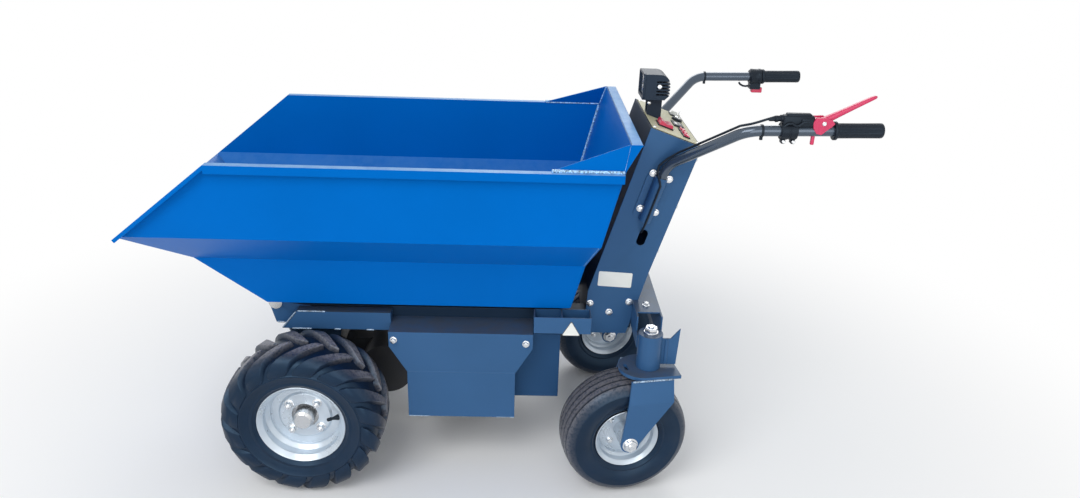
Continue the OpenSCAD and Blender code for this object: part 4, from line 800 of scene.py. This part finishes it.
def make_console():
    red, black = bmesh.new(), bmesh.new()
    add_rocker(red, black, on_panel(*LARGE_ROCKER), 36 * MM, 40 * MM, 14 * MM)
    for place in SMALL_ROCKERS:
        add_rocker(red, black, on_panel(*place), 13 * MM, 19 * MM, 8 * MM)
    add_box(black, (-15 * MM, -26 * MM, 0), (15 * MM, 26 * MM, 4 * MM), 1.2 * MM, 3, on_panel(*DISPLAY))
    add_turned(black, scaled(KEY_COLLAR), on_panel(*KEY), 36)
    add_box(black, (-12 * MM, -17 * MM, 0), (12 * MM, 17 * MM, 3 * MM), 1 * MM, 2, on_panel(*DIAL))
    finish_piece("console_bezels", black, "chassis", "black_plastic")
    caps = finish_piece("console_rockers", red, "chassis", "switch_red")
    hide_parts("console_controls")
    bm = bmesh.new()
    window = on_panel(*DISPLAY) @ Matrix.Translation((0, 0, 4 * MM))
    add_plate(bm, rounded_outline(rectangle(22 * MM, 42 * MM), 2 * MM), window, 0.6 * MM)
    finish_piece("console_display", bm, "chassis", "display_dark")
    bm = bmesh.new()
    add_turned(bm, scaled(KEY_BARREL), on_panel(*KEY))
    add_box(bm, (-1.2 * MM, -9 * MM, 8 * MM), (1.2 * MM, 9 * MM, 24 * MM), 0.8 * MM, 2, on_panel(*KEY))
    for place in PANEL_SCREWS:
        add_turned(bm, scaled(PANEL_SCREW), on_panel(*place), 16)
    finish_piece("console_key", bm, "chassis", "zinc")
    bm = bmesh.new()
    at = on_panel(*DIAL)
    add_turned(bm, scaled(DIAL_KNOB), at)
    add_box(bm, (-9 * MM, -1.6 * MM, 7 * MM), (9 * MM, 1.6 * MM, 11 * MM), 1 * MM, 2, at)
    finish_piece("console_dial", bm, "chassis", "plate_white")


make_console()


# Handlebars, grips and their fittings
BAR_R = 12.5 * MM
BAR_BEND = 70 * MM
BAR_CORNERS = [(-373, 172, 705), (-415, 172, 852), (-565, 303, 978), (-864, 303, 986)]


def bent_route(corners, radius, steps=10):
    """Route through corners, each turned into an arc of a radius."""
    route = [corners[0]]
    for before, corner, after in zip(corners, corners[1:], corners[2:]):
        back, ahead = (before - corner).normalized(), (after - corner).normalized()
        opening = back.angle(ahead)
        reach = radius / math.tan(opening / 2)
        middle = corner + radius / math.sin(opening / 2) * (back + ahead).normalized()
        start, end = corner + reach * back - middle, corner + reach * ahead - middle
        route += [middle + radius * start.slerp(end, k / steps) for k in range(steps + 1)]
    return route + [corners[-1]]


def bar_corners(side):
    return [Vector((x * MM, side * y * MM, z * MM)) for x, y, z in BAR_CORNERS]


def on_run(side, x):
    """Place on the straight end of a handlebar at an x in mm."""
    knee, end = bar_corners(side)[2:]
    return knee.lerp(end, (x * MM - knee.x) / (end.x - knee.x))


RUN = (bar_corners(1)[3] - bar_corners(1)[2]).normalized()
GRIP_START = -756


def make_handlebars():
    bm = bmesh.new()
    for side in SIDES:
        add_loft(bm, tube_rings(bent_route(bar_corners(side), BAR_BEND, 12), BAR_R, 28))
    bars = finish_piece("bent_handlebars", bm, "chassis", "bar_paint")
    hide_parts("handlebars")


# Along a grip in mm: distance, radius, and 1 where it is fluted
GRIP_ROWS = [(0, 15, 0), (0, 20, 0), (1, 21, 0), (6.5, 21, 0), (8, 19.5, 0), (9, 17, 0), (13, 17, 0), (16, 17, 1),
             (60, 16.8, 1), (102, 17, 1), (105, 17, 0), (109.4, 16.6, 0), (111.4, 15, 0), (112, 12.6, 0)]
FLUTES, FLUTE_DEPTH, FLUTE_STEPS = 14, 1.3, 6


def make_grips():
    bm = bmesh.new()
    for side in SIDES:
        at = frame_on(on_run(side, GRIP_START), RUN)
        rings = []
        for along, radius, fluted in GRIP_ROWS:
            ring = []
            for k in range(FLUTES * FLUTE_STEPS):
                turn = math.tau * k / (FLUTES * FLUTE_STEPS)
                r = (radius - fluted * FLUTE_DEPTH * max(0, math.cos(FLUTES * turn)) ** 0.5) * MM
                ring.append(at @ Vector((r * math.cos(turn), r * math.sin(turn), along * MM)))
            rings.append(ring)
        add_loft(bm, rings)
    grips = finish_piece("fluted_grips", bm, "chassis", "black_rubber", smooth=50)
    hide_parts("grips")


# Brake: a perch clamped to the bar, and a lever that narrows to its tip between two cheeks
# Along the lever in mm: x, z, height and width
LEVER_ROWS = [(-712, 1001, 8, 12), (-720, 1003, 15, 16), (-733, 1006, 16, 17), (-745, 1012.5, 15, 16),
              (-760, 1020.5, 13, 15), (-785, 1034, 11, 14), (-810, 1047.5, 9.6, 13), (-830, 1058, 8.4, 12),
              (-838, 1061.6, 6.6, 10), (-840.5, 1062.8, 3, 6)]
LEVER_LEAN = math.radians(28)
LEVER_Y, LEVER_CORNERS, LEVER_SQUARENESS = 303, 20, 0.6
CHEEK = [(-704, 1003), (-711, 1014), (-731, 1015), (-747, 1010), (-754, 1002), (-748, 995), (-736, 985), (-727, 976),
         (-715, 978), (-707, 990)]
CHEEK_SIDES = (289.5, 312.5)
# Perch in mm: low and high corners of its blocks with their edge radius, clamp ring, spring and cable stop
PERCH_BLOCKS = [((-709, 292, 989), (-638, 314, 1017), 5), ((-702, 295, 1013), (-646, 311, 1021), 3),
                ((-706, 309, 994), (-678, 317.5, 1012), 3), ((-650, 294, 952), (-641, 312, 972), 2.4),
                ((-672, 294, 952), (-663, 312, 972), 2.4), ((-752, 297, 984), (-706, 309, 994), 3)]
PERCH_RING = [(12.4, 0), (18.6, 0), (19.8, 1.4), (19.8, 16), (18.8, 17), (18.8, 20), (19.8, 21), (19.8, 35),
              (18.6, 36.4), (12.4, 36.4)]
PERCH_SPRING = [(-640, 315, 991), (-648, 317, 999), (-657, 317, 1001), (-666, 317, 995), (-674, 317, 996),
                (-683, 318, 1004), (-694, 318, 1005)]
CABLE_STOP = [(0, 0), (8, 0), (8, 7), (6.4, 8), (6.4, 12), (7.4, 13), (7.4, 19), (5, 21), (4.4, 30), (3.4, 33), (0, 33)]
CLAMP_SCREW = [(0, 0), (4, 0), (4, 3), (3.2, 3.8), (2, 3.8), (2, 2), (0, 2)]


def lever_ring(x, z, height, width):
    up = Vector((math.sin(LEVER_LEAN), 0, math.cos(LEVER_LEAN)))
    middle = Vector((x * MM, LEVER_Y * MM, z * MM))
    ring = []
    for turn in (math.tau * k / LEVER_CORNERS for k in range(LEVER_CORNERS)):
        rise, out = (math.copysign(abs(v) ** LEVER_SQUARENESS, v) for v in (math.sin(turn), math.cos(turn)))
        ring.append(middle + up * (rise * height / 2 * MM) + Y * (out * width / 2 * MM))
    return ring


def make_perch():
    bm = bmesh.new()
    for low, high, edge in PERCH_BLOCKS:
        add_box(bm, *scaled((low, high)), edge * MM, 3)
    add_turned(bm, scaled(PERCH_RING), frame_on(on_run(1, -637), RUN), 40)
    add_loft(bm, tube_rings([Vector(p) * MM for p in PERCH_SPRING], 3 * MM, 12))
    at = frame_on(Vector((-0.641, 0.303, 1.009)), Vector((1, 0, -0.12)))
    add_turned(bm, scaled(CABLE_STOP), at, 28)
    perch = finish_piece("brake_perch_body", bm, "chassis", "black_plastic")
    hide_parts("brake_perch")


def make_brake():
    bm = bmesh.new()
    add_loft(bm, [lever_ring(*row) for row in LEVER_ROWS])
    for y in CHEEK_SIDES:
        at = side_frame(Vector((0, y * MM, 0)))
        add_plate(bm, rounded_outline([Vector((-x * MM, z * MM, 0)) for x, z in CHEEK], 1.6 * MM, 4), at, 4 * MM)
    add_box(bm, (-722 * MM, 291 * MM, 998 * MM), (-708 * MM, 315 * MM, 1012 * MM), 2 * MM, 3)
    add_box(bm, (-717 * MM, 299 * MM, 950 * MM), (-709 * MM, 307 * MM, 972 * MM), 2 * MM, 3)
    lever = finish_piece("brake_lever_blade", bm, "chassis", "lever_red", smooth=55)
    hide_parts("brake_lever")
    bm = bmesh.new()
    for side, y in ((1, 316), (-1, 290)):
        add_stud(bm, frame_on(Vector((-0.729, y * MM, 1.002)), side * Y), 5 * MM, 0, 4.4 * MM)
    for x in (-645.5, -667.5):
        add_turned(bm, scaled(CLAMP_SCREW), frame_on(Vector((x * MM, 312 * MM, 958 * MM)), Y), 20)
    finish_piece("brake_screws", bm, "chassis", "zinc")


THROTTLE_SLEEVE = [(13, -3), (19, -3), (20, -1), (22.4, 0.6), (22.4, 6), (21.7, 7), (21.7, 22), (22.4, 23), (22.4, 28),
                   (21, 30.4), (13, 30.4)]


def make_throttle():
    bm = bmesh.new()
    add_box(bm, (-762 * MM, -313 * MM, 937 * MM), (-731 * MM, -293 * MM, 953 * MM), 3 * MM, 3)
    finish_piece("throttle_button", bm, "chassis", "switch_red")
    bm = bmesh.new()
    at = frame_on(on_run(-1, -724), RUN)
    add_turned(bm, scaled(THROTTLE_SLEEVE), at, 40)
    finish_piece("throttle_sleeve", bm, "chassis", "black_plastic")


TIE_PLACES = ((1, -596), (-1, -590))
TIE_BAND = [(12.4, -2.4), (14.4, -2.4), (14.8, 0), (14.4, 2.4), (12.4, 2.4)]


def make_cable_ties():
    bm = bmesh.new()
    for side, x in TIE_PLACES:
        at = frame_on(on_run(side, x), RUN)
        add_turned(bm, scaled(TIE_BAND), at)
        add_box(bm, (-3 * MM, -21 * MM, -3.4 * MM), (3 * MM, -13.4 * MM, 3.4 * MM), 1 * MM, 2, at)
    finish_piece("cable_ties", bm, "chassis", "black_plastic")


make_handlebars()
make_grips()
make_perch()
make_brake()
make_throttle()
make_cable_ties()


# Lamp fittings in mm: front frame as inset and height, bolts and reflectors as radius and height
LAMP_LOW, LAMP_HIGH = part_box("work_lamp")
LAMP_MIDDLE = (LAMP_LOW + LAMP_HIGH) / 2
LAMP_FRAME = [(0, -4), (-1.2, -3), (-1.2, 1.2), (0, 2.4), (3.4, 2.4), (5.6, 0.8), (6.4, -5)]
LAMP_SIDE_BOLT = [(0, 0), (6, 0), (6, 2), (4.6, 3.6), (0, 4.2)]
LAMP_FOOT_BOLT = [(0, 0), (4.6, 0), (4.6, 2), (3.4, 3), (0, 3.2)]
REFLECTOR = [(0, 0.8), (4, 0.5), (7.4, 0.9), (8.2, 0.4), (8.2, 0)]
REFLECTOR_COLUMNS, REFLECTOR_ROWS = (-18, 0, 18), (-11, 11)


def make_lamp_fittings():
    bm = bmesh.new()
    front = Matrix.Translation((LAMP_HIGH.x, LAMP_MIDDLE.y, LAMP_MIDDLE.z)) @ Matrix((Y, Z, X)).transposed().to_4x4()
    size = LAMP_HIGH - LAMP_LOW
    rings = []
    for inset, height in LAMP_FRAME:
        corners = rectangle(size.y - 2 * inset * MM, size.z - 2 * inset * MM)
        rings.append([front @ (p + height * MM * Z) for p in rounded_outline(corners, max(2, 8 - inset) * MM)])
    loops = [add_ring(bm, ring) for ring in rings]
    for first, second in zip(loops, loops[1:] + loops[:1]):
        bmesh.ops.bridge_loops(bm, edges=first + second)
    finish_piece("lamp_front_frame", bm, "chassis", "lamp_alloy")
    bm = bmesh.new()
    for side in SIDES:
        at = frame_on(Vector((LAMP_MIDDLE.x - 6 * MM, side * LAMP_HIGH.y, LAMP_MIDDLE.z + 2 * MM)), side * Y)
        add_turned(bm, scaled(LAMP_SIDE_BOLT), at, 28)
        at = frame_on(Vector((LAMP_MIDDLE.x + 14 * MM, side * 20 * MM, LAMP_LOW.z - 12 * MM)), side * Y)
        add_turned(bm, scaled(LAMP_FOOT_BOLT), at, 24)
    finish_piece("lamp_bolts", bm, "chassis", "zinc")
    lens_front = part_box("lamp_lens")[1].x
    bm = bmesh.new()
    for across in REFLECTOR_COLUMNS:
        for rise in REFLECTOR_ROWS:
            spot = Vector((lens_front, across * MM, LAMP_MIDDLE.z + rise * MM))
            add_turned(bm, scaled(REFLECTOR), frame_on(spot, X), 24)
    finish_piece("lamp_reflectors", bm, "chassis", "zinc")


make_lamp_fittings()


# Stage: pale floor, white surroundings and soft light

FLOOR_HALF, FLOOR_TONE, FLOOR_ROUGH = 12, 0.90, 0.8
FADE_START, FADE_END = 0.7, 2.2
SKY_COLOUR, SKY_STRENGTH = (0.92, 0.96, 1.0, 1), 0.5
# Area lights: place, aim, size and power
LIGHTS = (("key", (1.6, 2.6, 3.4), (0, 0, 0.5), 2.4, 76),
          ("fill", (-0.6, 3.6, 1.5), (0, 0, 0.5), 2.6, 42),
          ("back", (-0.6, -3.0, 3.0), (0, 0, 0.6), 2.5, 50))


def make_stage():
    bm = bmesh.new()
    bmesh.ops.create_grid(bm, x_segments=1, y_segments=1, size=FLOOR_HALF)
    mesh = bpy.data.meshes.new("floor")
    bm.to_mesh(mesh)
    bm.free()
    floor = bpy.data.objects.new("floor", mesh)
    show(floor)
    material = bpy.data.materials.new("pale_floor")
    material.use_nodes = True
    tree = material.node_tree
    shader = tree.nodes["Principled BSDF"]
    shader.inputs["Base Color"].default_value = (FLOOR_TONE, FLOOR_TONE, FLOOR_TONE, 1)
    shader.inputs["Roughness"].default_value = FLOOR_ROUGH
    place = add_node(tree, "TexCoord").outputs["Object"]
    reach = add_node(tree, "VectorMath", {0: place}, operation="LENGTH").outputs["Value"]
    fade = add_node(tree, "MapRange", {"Value": reach, "From Min": FADE_START, "From Max": FADE_END},
                    interpolation_type="SMOOTHSTEP")
    rays = add_node(tree, "LightPath").outputs
    seen = add_node(tree, "Math", {0: rays["Is Camera Ray"], 1: rays["Is Glossy Ray"]}, operation="MAXIMUM")
    share = add_node(tree, "Math", {0: fade.outputs[0], 1: seen.outputs[0]}, operation="MULTIPLY")
    white = add_node(tree, "Emission", {"Color": (1, 1, 1, 1), "Strength": 1})
    mixed = add_node(tree, "MixShader", {0: share.outputs[0], 1: shader.outputs[0], 2: white.outputs[0]})
    tree.links.new(mixed.outputs[0], tree.nodes["Material Output"].inputs["Surface"])
    floor.data.materials.append(material)

    world = bpy.data.worlds.new("white_room")
    bpy.context.scene.world = world
    world.use_nodes = True
    tree = world.node_tree
    light = tree.nodes["Background"]
    light.inputs["Color"].default_value = SKY_COLOUR
    light.inputs["Strength"].default_value = SKY_STRENGTH
    rays = add_node(tree, "LightPath").outputs
    seen = add_node(tree, "Math", {0: rays["Is Camera Ray"], 1: rays["Is Glossy Ray"]}, operation="MAXIMUM")
    seen = add_node(tree, "Math", {0: seen.outputs[0], 1: rays["Is Transmission Ray"]}, operation="MAXIMUM")
    white = add_node(tree, "Background", {"Color": (1, 1, 1, 1), "Strength": 1})
    mixed = add_node(tree, "MixShader", {0: seen.outputs[0], 1: light.outputs[0], 2: white.outputs[0]})
    tree.links.new(mixed.outputs[0], tree.nodes["World Output"].inputs["Surface"])

    for name, place, aim, size, power in LIGHTS:
        data = bpy.data.lights.new(name, "AREA")
        data.size, data.energy = size, power
        lamp = bpy.data.objects.new(name, data)
        lamp.matrix_world = frame_on(Vector(place), Vector(place) - Vector(aim))
        show(lamp)
    bpy.context.scene.view_settings.view_transform = "Standard"


make_stage()
